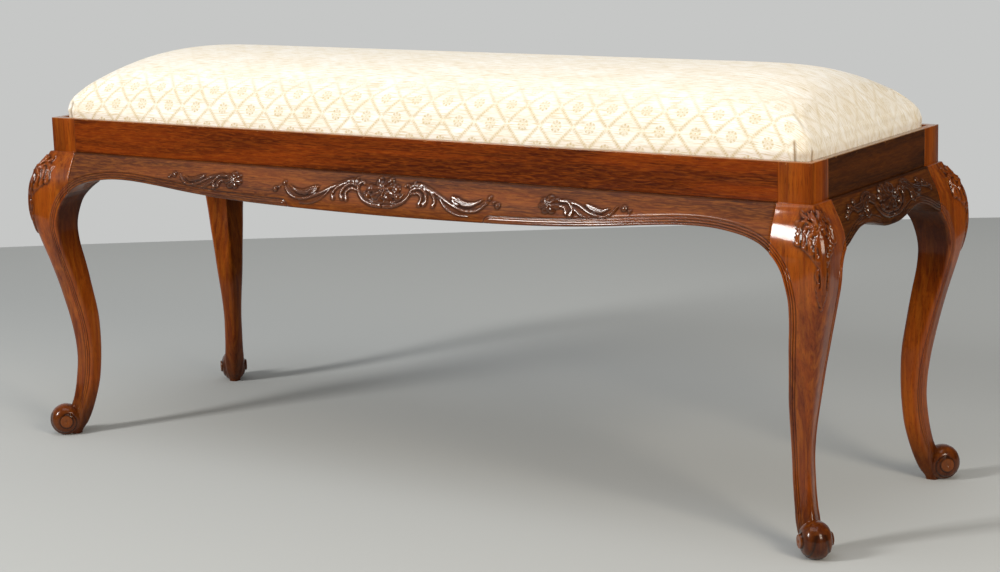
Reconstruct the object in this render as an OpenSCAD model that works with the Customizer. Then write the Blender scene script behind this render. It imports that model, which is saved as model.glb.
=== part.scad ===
// Duet stool: four cabriole legs, top rails over shaped aprons, and a drop-in seat.
// Millimetres, +Z up. The origin is on the floor under the middle of the stool, +X runs along
// its length, and the front faces -Y.

/* [Frame] */
// Length of the frame over the outer faces of the stiles
frame_w = 1155; // [960:5:1300]
// Depth of the frame over the outer faces of the stiles
frame_d = 352; // [320:2:440]
// Height from the floor to the top of the rails
frame_h = 450; // [410:5:500]
// Height of the plain top rails
band_h = 46; // [38:1:54]
// Side of the square stile that heads each leg
stile = 42; // [36:1:50]
// Thickness of the top rails
rail_t = 25; // [22:1:30]
// Thickness of the apron boards behind their carved faces
apron_t = 22; // [18:1:26]

/* [Legs] */
// How far the knee swells past the outer face of the stile
knee_out = 31; // [24:1:36]
// How far the moulded ledge stands out under the top rails
ledge = 4; // [2:0.5:6]
// Setback of the rounding on the outer corner of the leg
leg_round = 16; // [8:1:20]
// Radius of the scroll that the foot ends in
scroll_r = 22.5; // [18:0.5:25]
// Width of the scroll between its cheeks
scroll_w = 34; // [28:1:40]
// Radius of the button in the middle of each cheek
eye_r = 6.5; // [4:0.5:9]
// How far the button stands out of the cheek
eye_proud = 2.5; // [1:0.5:4]
// Depth of the flat that the scroll is cut to underneath
foot_flat = 1.5; // [0.5:0.5:3]

/* [Aprons] */
// Depth of an apron at the leg, where it is deepest
apron_drop = 57; // [50:1:64]
// How far the apron face swells at the middle of the board
apron_swell = 16; // [8:1:18]
// Length over which an apron face flares out to meet the knee
flare_l = 120; // [70:5:120]
// Width of the bead along the lower edge
bead_w = 5; // [3:0.5:7]
// Depth of the groove behind the bead
bead_deep = 1; // [0.5:0.25:1.5]

/* [Joinery] */
// Length of the tenons on the rails and aprons
tenon_l = 18; // [12:1:20]
// Thickness of the tenons
tenon_t = 8; // [6:1:9]
// Shoulder between the face of a rail and its tenon
tenon_face = 6; // [5:1:7]
// Room left for glue around each tenon
glue_gap = 0.15; // [0.1:0.05:0.3]
// Length of a corner block along each apron
block_l = 50; // [40:2:60]
// Height of the corner blocks
block_h = 26; // [20:1:30]
// Shank diameter of the corner block screws
screw_d = 5; // [4:0.5:6]
// Length of the corner block screws
screw_l = 44; // [38:1:50]

/* [Seat] */
// Width of the rail top left showing round the seat
rim = 10; // [8:1:14]
// Depth of the rebate that the seat drops into
rebate = 20; // [16:1:24]
// Running room between the cover and the rim
seat_gap = 1; // [0.6:0.1:2]
// Thickness of the seat frame
seat_frame_t = 20; // [16:1:24]
// Width of the seat frame members
seat_frame_w = 50; // [40:1:60]
// Thickness of the cover cloth
cover_t = 1.5; // [1:0.25:2]
// Height of the crown of the cushion above the rails
crown_h = 87; // [60:1:110]
// Height of the steep edge of the cushion above the rails
edge_h = 26; // [24:1:40]
// Distance from each end over which the crown falls away
crown_end = 130; // [90:5:150]
// How far the sides of the cushion draw in between the corners
draw_in = 3; // [0:0.5:6]
// Radius of the cushion's corners seen from above
corner_r = 22; // [12:1:28]
// Width of the webbing
web_w = 50; // [40:1:52]
// Thickness of the webbing
web_t = 2; // [1.5:0.5:3]
// Thickness of the hessian over the webbing
hessian_t = 1; // [0.5:0.25:1.5]
// Thickness of the cloth that closes the underside
bottom_cloth_t = 0.8; // [0.5:0.1:1.2]

/* [Hidden] */
leg_h = frame_h - band_h;
half_w = frame_w / 2;
half_d = frame_d / 2;
span_w = half_w - stile;
span_d = half_d - stile;
overrun = 1;

// Heights are shares of leg_h. The swell of the outer corner is a share of knee_out.
outer_shares = [[0, 0.2], [0.085, 0.12], [0.13, -0.02], [0.19, -0.13], [0.28, -0.2], [0.38, -0.1],
    [0.5, 0.16], [0.6, 0.43], [0.71, 0.78], [0.79, 0.99], [0.85, 1], [0.9, 0.88], [0.945, 0.6],
    [0.98, 0.27], [1, 0.13]];
// How far the side corners lie back from the outer corner, as a share of leg_round.
slim_shares = [[0, 0.15], [0.1, 0.2], [0.2, 0.32], [0.35, 0.3], [0.5, 0.15], [0.62, 0.05],
    [0.75, 0.12], [0.85, 0.5], [0.95, 0.26], [1, 0]];
// Depth of the lower edge where an apron meets the leg, as a share of apron_drop, and its height
edge_end_share = 0.96;
joint_share = 1 - edge_end_share * apron_drop / leg_h;
// How far the inner faces lie inside the outer faces of the stile, as a share of the stile. The curve
// runs on past 1, where the apron takes it over.
inner_shares = [[0, 0.24], [0.04, 0.41], [0.09, 0.57], [0.18, 0.76], [0.26, 0.835], [0.34, 0.855],
    [0.42, 0.83], [0.5, 0.74], [0.6, 0.61], [0.67, 0.5], [0.72, 0.455], [0.75, 0.46], [0.78, 0.515],
    [0.815, 0.63], [joint_share - 0.02, 0.815], [joint_share, 1], [joint_share + 0.0155, 1.19]];
// Setback of the three lesser corners, as a share of leg_round.
soft_shares = [[0, 0.3], [0.1, 0.5], [0.25, 0.7], [0.5, 0.5], [0.72, 0.25], [0.84, 0.04], [1, 0.04]];
// Setback of the outer corner, as a share of leg_round.
nose_shares = [[0, 0.5], [0.25, 0.6], [0.6, 1], [0.85, 1.1], [0.95, 0.6], [1, 0.06]];
// Depth of the lower edge of a long apron along its half length, as a share of apron_drop. It runs
// on past the joint, so that it meets the leg's curve at the same slope.
long_edge_shares = [[0, 0.87], [0.2, 0.855], [0.38, 0.82], [0.5, 0.77], [0.6, 0.7], [0.7, 0.61],
    [0.79, 0.55], [0.86, 0.555], [0.92, 0.63], [0.955, 0.715], [0.98, 0.82],
    [1, edge_end_share], [1.02, 1.12]];
// The same for an end apron.
end_edge_shares = [[0, 0.845], [0.15, 0.83], [0.3, 0.755], [0.42, 0.68], [0.54, 0.645], [0.66, 0.665],
    [0.76, 0.73], [0.86, 0.825], [0.93, 0.9], [1, edge_end_share], [1.07, 1.04]];

// Joints cut into the stile
tenon_z_share = 0.18;
tenon_h = (band_h - rebate) * (1 - 2 * tenon_z_share);
tenon_z = leg_h + (band_h - rebate) * tenon_z_share;
apron_tenon_h = apron_drop * 0.62;
apron_tenon_z = leg_h - apron_drop * 0.12 - apron_tenon_h;

// Scroll foot, placed along the diagonal of the leg
scroll_u = scroll_r * 0.38;
cheek_dome = scroll_w * 0.24;

// Corner blocks
block_z = leg_h - block_h;
block_nib = block_l * 0.16;
// Clearance of each screw in its holes
screw_fit = 0.05;
screw_head_d = screw_d * 1.8;
screw_head_h = screw_d * 0.55;
screw_zs = [block_z + block_h * 0.27, block_z + block_h * 0.73];
// Distance from the outer corner of the stile to the block's slanting face, along the diagonal
block_face_u = -(apron_t + block_nib + stile + block_l) / sqrt(2);

// Seat
seat_z = frame_h - rebate;
seat_x = half_w - rim - seat_gap - cover_t;
seat_y = half_d - rim - seat_gap - cover_t;
seat_top = seat_z + seat_frame_t;
seat_tenon_l = seat_frame_w * 0.5;
seat_tenon_h = seat_frame_t * 0.4;
stretcher_w = seat_frame_w * 0.8;
stretcher_h = seat_frame_t * 0.7;
seat_tenon_z = seat_z + (stretcher_h - seat_tenon_h) / 2;
stretcher_x = seat_x / 3;
// Distance from the edge of the seat frame to the ends of the webs and the edge of the hessian
web_room = 10;
cross_webs = floor(2 * (seat_x - seat_frame_w) / (2 * web_w));
long_webs = 2;
web_pitch = 2 * (seat_x - seat_frame_w / 2) / (cross_webs + 1);
long_web_y = (seat_y - seat_frame_w) / 2;
hessian_z = seat_top + 2 * web_t;
pad_z = hessian_z + hessian_t;
// Distance from the bottom of the seat frame up to the lower edge of the cover
cover_hem = 2;
// Room between the stuffing and the cover
soft_fit = 0.5;
// Distance from the stiles to the edge of the bottom cloth
cloth_room = 4;
cloth_in = stile - rim - seat_gap - cover_t + cloth_room;

// Smooth curve through a table of [place, value] pairs
function step_at(tab, x, i = 0) =
    (i >= len(tab) - 2 || x <= tab[i + 1][0]) ? i : step_at(tab, x, i + 1);
function rise(tab, i) =
    i == 0 || i == len(tab) - 1 ? 0
    : (tab[i + 1][1] - tab[i - 1][1]) / (tab[i + 1][0] - tab[i - 1][0]);
function along(tab, x) =
    x >= tab[len(tab) - 1][0] ? tab[len(tab) - 1][1] :
    let (i = step_at(tab, x), h = tab[i + 1][0] - tab[i][0], t = (x - tab[i][0]) / h)
    (2 * t ^ 3 - 3 * t ^ 2 + 1) * tab[i][1] + (t ^ 3 - 2 * t ^ 2 + t) * h * rise(tab, i)
    + (3 * t ^ 2 - 2 * t ^ 3) * tab[i + 1][1] + (t ^ 3 - t ^ 2) * h * rise(tab, i + 1);
function ease(t) = let (c = min(max(t, 0), 1)) c * c * (3 - 2 * c);
function mix(a, b, t) = a + (b - a) * t;
function unit(v) = v / norm(v);
function bend(a, c, b, t) = (1 - t) ^ 2 * a + 2 * t * (1 - t) * c + t ^ 2 * b;

// Swell of the knee at a height: at its outer corner, and back at the apron joint
function knee(z) = knee_out * along(outer_shares, z / leg_h);
function flank(z) = knee(z) - leg_round * along(slim_shares, z / leg_h);

// Skin over a stack of rings that all have the same number of points
module skin(rings) {
    n = len(rings[0]);
    m = len(rings);
    polyhedron(
        points = [for (r = rings) each r],
        faces = concat(
            [[for (i = [0:n - 1]) i]],
            [for (k = [0:m - 2], i = [0:n - 1]) let (a = k * n + i, b = k * n + (i + 1) % n)
                [a, a + n, b + n, b]],
            [[for (i = [n - 1:-1:0]) (m - 1) * n + i]]),
        convexity = 6);
}

// Section of a leg, in the corner's own axes: p and q run outwards from the faces of the stile
corner_steps = 4;
nose_steps = 7;
function rounded(before, at, after, r, steps) =
    [for (k = [0:steps]) bend(at + r * unit(before - at), at, at + r * unit(after - at), k / steps)];
function leg_ring(z) =
    let (a = -stile * min(1, along(inner_shares, z / leg_h)), b = knee(z), f = flank(z),
        soft = leg_round * along(soft_shares, z / leg_h), nose = leg_round * along(nose_shares, z / leg_h),
        o = [b, b], s1 = [a, f], i = [a, a], s2 = [f, a])
    [for (p = concat(rounded(s2, o, s1, nose, nose_steps), rounded(o, s1, i, soft, corner_steps),
        rounded(s1, i, s2, soft, corner_steps), rounded(i, s2, o, soft, corner_steps))) [p.x, p.y, z]];
foot_share = 0.1;
shank_share = 0.7;
function leg_stations() = concat(
    [for (k = [0:3]) foot_share * k / 4],
    [for (k = [0:13]) mix(foot_share, shank_share, k / 14)],
    [for (k = [0:17]) mix(shank_share, 1, k / 17)]);

// Scroll with domed cheeks, lying on its side across the diagonal
module scroll() {
    translate([scroll_u, 0, scroll_r - foot_flat])
        rotate([90, 0, 0])
            union() {
                rotate_extrude($fn = 48)
                    polygon(concat([[0, -scroll_w / 2]],
                        [for (a = [-90:30:90])
                            [scroll_r - cheek_dome + cheek_dome * cos(a), scroll_w / 2 * sin(a)]],
                        [[0, scroll_w / 2]]));
                cylinder(r = eye_r, h = scroll_w + 2 * eye_proud, center = true, $fn = 32);
            }
}

module leg_blank() {
    union() {
        skin([for (s = leg_stations()) leg_ring(s * leg_h)]);
        translate([-stile, -stile, leg_h]) cube([stile, stile, band_h]);
        rotate([0, 0, 45]) difference() {
            scroll();
            translate([-frame_h, -frame_h, -frame_h]) cube([2 * frame_h, 2 * frame_h, frame_h]);
        }
    }
}

// One mortise in the stile, open on its inner face
module mortise(z, h) {
    translate([-stile - overrun, -tenon_face - tenon_t - glue_gap, z - glue_gap])
        cube([tenon_l + glue_gap + overrun, tenon_t + 2 * glue_gap, h + 2 * glue_gap]);
}

module mortises() {
    mortise(tenon_z, tenon_h);
    mortise(apron_tenon_z, apron_tenon_h);
}

// A leg in its corner's own axes, with the rebate, the mortises and the screw holes cut
module leg_solid() {
    difference() {
        leg_blank();
        translate([-stile - overrun, -stile - overrun, seat_z])
            cube([stile - rim + overrun, stile - rim + overrun, rebate + overrun]);
        mortises();
        mirror([1, -1, 0]) mortises();
        for (z = screw_zs) screw_hole(z, screw_fit);
    }
}

// Stands a shape drawn along +Z at a screw's place, pointing from the block's face into the leg
module along_screw(z) {
    rotate([0, 0, 45]) translate([block_face_u, 0, z]) rotate([0, 90, 0]) children();
}

module screw_hole(z, room) {
    along_screw(z) translate([0, 0, -overrun])
        cylinder(d = screw_d + 2 * room, h = screw_l + room + overrun, $fn = 24);
}

// Sets a shape drawn in a corner's own axes at one corner of the frame
module at_corner(side, front) {
    mirror([side < 0 ? 1 : 0, 0, 0]) mirror([0, front < 0 ? 1 : 0, 0])
        translate([half_w, half_d, 0]) children();
}

module leg(side, front) {
    color("#5a2413") at_corner(side, front) leg_solid();
}

module leg_front_left() leg(-1, -1);
module leg_front_right() leg(1, -1);
module leg_back_left() leg(-1, 1);
module leg_back_right() leg(1, 1);

// Top rail lying along X, its outer face on y = 0 and the rest at positive y
module top_rail(half_l) {
    color("#5a2413") union() {
        difference() {
            translate([-half_l, 0, leg_h]) cube([2 * half_l, rail_t, band_h]);
            translate([-half_l - overrun, rim, seat_z])
                cube([2 * half_l + 2 * overrun, rail_t, rebate + overrun]);
        }
        translate([-half_l - tenon_l, tenon_face, tenon_z])
            cube([2 * half_l + 2 * tenon_l, tenon_t, tenon_h]);
    }
}

module top_rail_front() translate([0, -half_d, 0]) top_rail(span_w);
module top_rail_back() rotate([0, 0, 180]) translate([0, -half_d, 0]) top_rail(span_w);
module top_rail_left() rotate([0, 0, -90]) translate([0, -half_w, 0]) top_rail(span_d);
module top_rail_right() rotate([0, 0, 90]) translate([0, -half_w, 0]) top_rail(span_d);

// Section of an apron at a distance along it, as [outwards from the face, height]
face_steps = 7;
function apron_face(z, flare) =
    mix(ledge + apron_swell * sin(90 * min((leg_h - z) / (apron_drop * 0.8), 1)) ^ 1.2, flank(z), flare);
function apron_section(share, half_l, edge_shares) =
    let (flare = ease((share * half_l - half_l + flare_l) / flare_l) ^ 1.2,
        low = leg_h - apron_drop * along(edge_shares, share),
        top_of_bead = low + 1.6 * bead_w)
    concat(
        [[-apron_t, low + bead_w]],
        [[-apron_t + bead_w, low]],
        [[apron_face(low, flare) - bead_w / 2, low]],
        [[apron_face(low, flare), low + bead_w / 4]],
        [[apron_face(low + bead_w, flare), low + bead_w]],
        [[apron_face(low + bead_w, flare) - bead_deep, low + 1.25 * bead_w]],
        [for (k = [0:face_steps]) let (z = mix(top_of_bead, leg_h, k / face_steps))
            [apron_face(z, flare), z]],
        [[-apron_t, leg_h]]);
// Place of a station along the apron as a share of its half length. They lie closer near the legs.
function station(t) = sign(t) * (1 - (1 - abs(t)) ^ 1.25);
module apron(half_l, edge_shares, stations) {
    color("#5a2413") union() {
        skin([for (k = [0:stations]) let (s = station(mix(1, -1, k / stations)))
            [for (p = apron_section(abs(s), half_l, edge_shares)) [s * half_l, -p.x, p.y]]]);
        for (x = [-half_l - tenon_l, half_l])
            translate([x, tenon_face, apron_tenon_z]) cube([tenon_l, tenon_t, apron_tenon_h]);
    }
}

module long_apron() apron(span_w, long_edge_shares, 44);
module end_apron() apron(span_d, end_edge_shares, 26);
module apron_front() translate([0, -half_d, 0]) long_apron();
module apron_back() rotate([0, 0, 180]) translate([0, -half_d, 0]) long_apron();
module apron_left() rotate([0, 0, -90]) translate([0, -half_w, 0]) end_apron();
module apron_right() rotate([0, 0, 90]) translate([0, -half_w, 0]) end_apron();

// Block glued into the corner behind the aprons and screwed to the stile
module corner_block(side, front) {
    color("#b98a58") at_corner(side, front) difference() {
        translate([0, 0, block_z]) linear_extrude(block_h)
            polygon([[-stile, -apron_t], [-stile - block_l, -apron_t],
                [-stile - block_l, -apron_t - block_nib], [-apron_t - block_nib, -stile - block_l],
                [-apron_t, -stile - block_l], [-apron_t, -stile], [-stile, -stile]]);
        for (z = screw_zs) {
            screw_hole(z, 2 * screw_fit);
            screw_sink(z, 2 * screw_fit);
        }
    }
}

module screw_sink(z, room) {
    slope = (screw_head_d - screw_d) / screw_head_h;
    along_screw(z) translate([0, 0, -overrun])
        cylinder(d1 = screw_head_d + 2 * room + slope * overrun, d2 = screw_d + 2 * room,
            h = screw_head_h + overrun, $fn = 24);
}

module corner_block_front_left() corner_block(-1, -1);
module corner_block_front_right() corner_block(1, -1);
module corner_block_back_left() corner_block(-1, 1);
module corner_block_back_right() corner_block(1, 1);

module corner_block_screws() {
    color("#b9a15e") for (side = [-1, 1], front = [-1, 1], z = screw_zs)
        at_corner(side, front) along_screw(z) union() {
            cylinder(d = screw_d, h = screw_l, $fn = 24);
            cylinder(d1 = screw_head_d, d2 = screw_d, h = screw_head_h, $fn = 24);
        }
}

// Long member of the seat frame, with mortises for the ends and the stretchers
module seat_long_rail() {
    color("#d8b788") difference() {
        translate([0, 0, seat_z]) linear_extrude(seat_frame_t) long_rail_plan();
        for (side = [-1, 1]) {
            seat_mortise(side * (seat_x - seat_frame_w / 2), seat_frame_w * 0.6);
            seat_mortise(side * stretcher_x, stretcher_w * 0.6);
        }
    }
}

// Plan of a long member, its outer corners rounded to carry the cover round them
module long_rail_plan() {
    r = corner_r * 1.25;
    intersection() {
        translate([-seat_x, 0]) square([2 * seat_x, seat_frame_w]);
        union() {
            translate([-seat_x, r]) square([2 * seat_x, seat_frame_w]);
            translate([-seat_x + r, 0]) square([2 * (seat_x - r), seat_frame_w]);
            for (end = [-1, 1]) translate([end * (seat_x - r), r]) circle(r = r, $fn = 64);
        }
    }
}

module seat_mortise(x, w) {
    translate([x - w / 2 - glue_gap, seat_frame_w - seat_tenon_l - glue_gap, seat_tenon_z - glue_gap])
        cube([w + 2 * glue_gap, seat_tenon_l + glue_gap + overrun, seat_tenon_h + 2 * glue_gap]);
}

// Member that runs across the seat frame between the long rails
module seat_cross(x, w, h) {
    half_l = seat_y - seat_frame_w;
    color("#d8b788") union() {
        translate([x - w / 2, -half_l, seat_z]) cube([w, 2 * half_l, h]);
        translate([x - w * 0.3, -half_l - seat_tenon_l, seat_tenon_z])
            cube([w * 0.6, 2 * half_l + 2 * seat_tenon_l, seat_tenon_h]);
    }
}

module seat_rail_front() translate([0, -seat_y, 0]) seat_long_rail();
module seat_rail_back() mirror([0, 1, 0]) translate([0, -seat_y, 0]) seat_long_rail();
module seat_rail_left() seat_cross(-seat_x + seat_frame_w / 2, seat_frame_w, seat_frame_t);
module seat_rail_right() seat_cross(seat_x - seat_frame_w / 2, seat_frame_w, seat_frame_t);
module seat_stretcher_left() seat_cross(-stretcher_x, stretcher_w, stretcher_h);
module seat_stretcher_right() seat_cross(stretcher_x, stretcher_w, stretcher_h);

module webbing_cross() {
    color("#9c8a63") for (k = [1:cross_webs])
        translate([-seat_x + seat_frame_w / 2 + k * web_pitch - web_w / 2, -seat_y + web_room, seat_top])
            cube([web_w, 2 * (seat_y - web_room), web_t]);
}

// Each long web lies over the cross webs and steps down onto the ends of the seat frame
module webbing_long() {
    step_x = seat_x - seat_frame_w / 2 - web_w / 4;
    end_x = seat_x - web_room;
    color("#9c8a63") for (row = [-1, 1])
        translate([0, row * long_web_y + web_w / 2, seat_top]) rotate([90, 0, 0])
            linear_extrude(web_w)
                polygon([[-end_x, 0], [-step_x, 0], [-step_x + 2 * web_t, web_t], [step_x - 2 * web_t, web_t],
                    [step_x, 0], [end_x, 0], [end_x, web_t], [step_x + web_t, web_t],
                    [step_x - web_t, 2 * web_t], [-step_x + web_t, 2 * web_t],
                    [-step_x - web_t, web_t], [-end_x, web_t]]);
}

module hessian() {
    color("#a98f62") translate([-seat_x + web_room, -seat_y + web_room, hessian_z])
        cube([2 * (seat_x - web_room), 2 * (seat_y - web_room), hessian_t]);
}

// Outline of the cushion seen from above, as [x, y] points anticlockwise from the +X side
side_steps = 8;
end_steps = 4;
arc_steps = 3;
function outline(hx, hy, r) = let (
    corner = [for (k = [0:arc_steps]) let (a = 90 * k / arc_steps)
        [hx - r + r * cos(a), hy - r + r * sin(a)]],
    right = [for (k = [0:end_steps - 1]) [hx, (hy - r) * k / end_steps]],
    top = [for (k = [1:side_steps - 1]) [(hx - r) * (1 - k / side_steps), hy]],
    quarter = concat(right, corner, top, [[0, hy]]),
    n = len(quarter))
    concat(quarter, [for (k = [n - 2:-1:1]) [-quarter[k].x, quarter[k].y]],
        [for (k = [0:n - 1]) [-quarter[k].x, -quarter[k].y]],
        [for (k = [n - 2:-1:1]) [quarter[k].x, -quarter[k].y]]);

// Height of the crown over the steep edge, from the distances to the ends and the sides
function dome(t) = (1 - (1 - min(max(t, 0), 1)) ^ 2.2) ^ 0.72;
function pile(x, y) = (crown_h - edge_h) * dome((seat_x - abs(x)) / crown_end)
    * dome((seat_y - abs(y)) / seat_y);

// Steep edge of the cushion: heights as shares of edge_h, and how far each stands out as a share
// of the rim. Above it, rings close in on the spine of the crown.
edge_shares = [0, 0.35, 0.7, 1];
stand_shares = [0, 0.2, 0.08, -0.5];
top_rings = 5;
spine = seat_x - seat_y;
function drawn(p, up) =
    let (u = p.x / seat_x, v = p.y / seat_y, e = draw_in * sin(180 * min(max(up, 0), 0.5)))
    [p.x - sign(u) * e * (1 - v ^ 4) * abs(u) ^ 8, p.y - sign(v) * e * (1 - u ^ 4) * abs(v) ^ 8];
function edge_ring(z, stand, inset) =
    let (grow = cover_t + rim * stand - inset)
    [for (p = outline(seat_x + grow, seat_y + grow, corner_r + grow))
        let (q = drawn(p, (z - frame_h) / edge_h)) [q.x, q.y, z]];
function crown_ring(t, inset) =
    let (grow = cover_t + rim * stand_shares[len(stand_shares) - 1] - inset, in = t ^ 1.15)
    [for (p = outline(seat_x + grow, seat_y + grow, corner_r + grow))
        let (q = drawn(p, 1), x = mix(q.x, sign(q.x) * min(abs(q.x), spine), in), y = q.y * (1 - in))
        [x, y, frame_h + edge_h - inset + pile(x, y) * ease(t * 9)]];

// Rings from the foot of the cushion to its crown. The foot stands on the chord of the steep edge.
function cushion_rings(foot_z, inset) =
    let (foot = max(foot_z - frame_h, 0) / (edge_h * edge_shares[1]))
    concat([edge_ring(foot_z, stand_shares[1] * foot, inset)],
        foot > 0 ? [] : [edge_ring(frame_h, 0, inset)],
        [for (k = [1:len(edge_shares) - 1])
            edge_ring(frame_h + edge_h * edge_shares[k] - inset * edge_shares[k], stand_shares[k], inset)],
        [for (k = [1:top_rings]) crown_ring(0.94 * k / top_rings, inset)]);

// Two triangles for a face with four corners. Every skin of the cushion is split the same way.
function halves(a, b, c, d) = [[a, b, c], [a, c, d]];
function wall(n, first, m) = [for (k = [0:m - 2], i = [0:n - 1])
    let (a = first + k * n + i, b = first + k * n + (i + 1) % n) each halves(a, a + n, b + n, b)];

// Closes a loop of points across its middle, pairing each point with the one facing it
function cap(n, first) = [for (i = [0:n / 2 - 1])
    each halves(first + (n - i) % n, first + n - i - 1, first + i + 1, first + i)];
function back(faces) = [for (f = faces) [f[2], f[1], f[0]]];

module stuffing() {
    rings = cushion_rings(pad_z, cover_t + soft_fit);
    n = len(rings[0]);
    m = len(rings);
    color("#cbb994") polyhedron(
        points = [for (r = rings) each r],
        faces = concat([[for (i = [0:n - 1]) i]], wall(n, 0, m), cap(n, (m - 1) * n)),
        convexity = 4);
}

module seat_cover() {
    outer = cushion_rings(seat_z + cover_hem, 0);
    inner = cushion_rings(seat_z + cover_hem, cover_t);
    n = len(outer[0]);
    m = len(outer);
    color("#eadfbf") polyhedron(
        points = concat([for (r = outer) each r], [for (r = inner) each r]),
        faces = concat(wall(n, 0, m), cap(n, (m - 1) * n),
            back(concat(wall(n, m * n, m), cap(n, (2 * m - 1) * n))),
            [for (i = [0:n - 1]) let (j = (i + 1) % n) each halves(i, j, m * n + j, m * n + i)]),
        convexity = 6);
}

module bottom_cloth() {
    color("#2a2622") translate([-seat_x + cloth_in, -seat_y + cloth_in, seat_z - bottom_cloth_t])
        cube([2 * (seat_x - cloth_in), 2 * (seat_y - cloth_in), bottom_cloth_t]);
}

leg_front_left();
leg_front_right();
leg_back_left();
leg_back_right();
top_rail_front();
top_rail_back();
top_rail_left();
top_rail_right();
apron_front();
apron_back();
apron_left();
apron_right();
corner_block_front_left();
corner_block_front_right();
corner_block_back_left();
corner_block_back_right();
corner_block_screws();
seat_rail_front();
seat_rail_back();
seat_rail_left();
seat_rail_right();
seat_stretcher_left();
seat_stretcher_right();
webbing_cross();
webbing_long();
hessian();
stuffing();
seat_cover();
bottom_cloth();
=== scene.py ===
# %% [markdown]
# # A duet stool in polished mahogany
# The stool is a long seat for two players. Its bones come ready made as a fixed frame, and this
# script gives them their skin: carved cabriole legs and aprons, French polish, and a crowned
# cushion under cream damask. Every size is in millimetres until a mesh is made.

# %% Load the frame
import math
from functools import partial

import bmesh
import bpy
import numpy as np
from mathutils import Matrix, Vector
from mathutils.kdtree import KDTree


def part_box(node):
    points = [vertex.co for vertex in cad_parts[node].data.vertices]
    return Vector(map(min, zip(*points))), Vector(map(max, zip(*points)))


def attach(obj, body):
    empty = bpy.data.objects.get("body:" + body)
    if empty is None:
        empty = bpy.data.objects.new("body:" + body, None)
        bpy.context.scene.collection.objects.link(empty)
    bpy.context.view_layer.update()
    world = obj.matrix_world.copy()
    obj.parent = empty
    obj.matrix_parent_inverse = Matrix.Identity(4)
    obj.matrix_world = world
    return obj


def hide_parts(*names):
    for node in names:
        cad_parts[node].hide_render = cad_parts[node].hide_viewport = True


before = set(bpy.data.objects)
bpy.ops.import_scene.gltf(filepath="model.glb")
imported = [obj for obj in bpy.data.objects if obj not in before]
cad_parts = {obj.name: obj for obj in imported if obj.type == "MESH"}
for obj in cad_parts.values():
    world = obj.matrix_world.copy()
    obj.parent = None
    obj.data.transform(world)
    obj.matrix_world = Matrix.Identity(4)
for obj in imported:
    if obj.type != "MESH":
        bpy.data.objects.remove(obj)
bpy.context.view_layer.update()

MM = 0.001


def corners_mm(node):
    """Lowest and highest corner of a node, in millimetres."""
    low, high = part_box(node)
    return np.array(low) / MM, np.array(high) / MM


def add_object(name, data):
    """Puts a camera, a lamp or a mesh into the scene as an object."""
    made = bpy.data.objects.new(name, data)
    bpy.context.scene.collection.objects.link(made)
    return made


rail_low, rail_high = corners_mm("top_rail_front")
frame_h = rail_high[2]
leg_h = rail_low[2]
half_d = -rail_low[1]
half_w = corners_mm("top_rail_right")[1][0]
seat_z = corners_mm("seat_rail_front")[0][2]
seat_x = corners_mm("seat_rail_front")[1][0]
seat_y = corners_mm("seat_rail_back")[1][1]
print("frame", round(2 * half_w), "by", round(2 * half_d), "by", round(frame_h), "mm")

# %% [markdown]
# ## Camera
# The place and the lens were solved from the corners of the frame, so the render can be laid
# over the photograph. The camera is turned step by step: about the vertical, down, and a
# slight lean.

# %% Camera
camera_data = bpy.data.cameras.new("camera")
camera_data.sensor_width = 36.0
camera_data.lens = 80.756
camera = add_object("camera", camera_data)
turn, tilt, lean = (math.radians(a) for a in (34.0097, 90 - 11.3785, -1.7535))
camera.matrix_world = (
    Matrix.Translation((1.65415, -2.39053, 0.81401))
    @ Matrix.Rotation(turn, 4, "Z")
    @ Matrix.Rotation(tilt, 4, "X")
    @ Matrix.Rotation(lean, 4, "Z")
)
bpy.context.scene.camera = camera
bpy.context.scene.view_settings.view_transform = "Standard"
print("camera", [round(v, 3) for v in camera.location], "lens", camera_data.lens)

# %% [markdown]
# ## Colours and nodes
# Colours are written as they look on a screen, as hex values. Blender mixes light in linear
# values, so one function turns one into the other. A second one adds a node, sets what it is
# given and links what is a socket. Each material gets that second one with its own tree filled in.

# %% Colour and node helpers


def colour(code):
    """A hex colour such as #c08040 as linear red, green, blue and 1."""
    parts = [int(code[i : i + 2], 16) / 255 for i in (1, 3, 5)]
    return [p / 12.92 if p <= 0.04045 else ((p + 0.055) / 1.055) ** 2.4 for p in parts] + [1.0]


def add_node(tree, kind, inputs=None, out=0, **settings):
    """Adds a node, sets or links its inputs, and gives back one of its output sockets."""
    made = tree.nodes.new("ShaderNode" + kind)
    for name, value in settings.items():
        setattr(made, name, value)
    for name, value in (inputs or {}).items():
        if isinstance(value, bpy.types.NodeSocket):
            tree.links.new(value, made.inputs[name])
        else:
            made.inputs[name].default_value = value
    return made.outputs[out] if len(made.outputs) else made


def empty_material(name):
    """A material with no nodes yet, and the function that adds nodes to it."""
    material = bpy.data.materials.new(name)
    material.use_nodes = True
    material.node_tree.nodes.clear()
    return material, partial(add_node, material.node_tree)


# A Mix node set to colours gives them out at its third socket.
COLOURS = {"out": 2, "data_type": "RGBA"}
print("cream", [round(v, 3) for v in colour("#f4ead2")])

# %% [markdown]
# ## Studio
# Polish shows the room it stands in. The photographer's side of the room is dim, and a pale wall
# stands behind the stool, so the world is pale on that side and dim on the other for whatever is
# mirrored. A tall soft lamp stands in front, to the left, which puts a bright patch on the swelling
# knee. A wide one hangs overhead, and a weak warm one fills the right end. The floor ends in a
# nearly straight line where it meets the wall.

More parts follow.
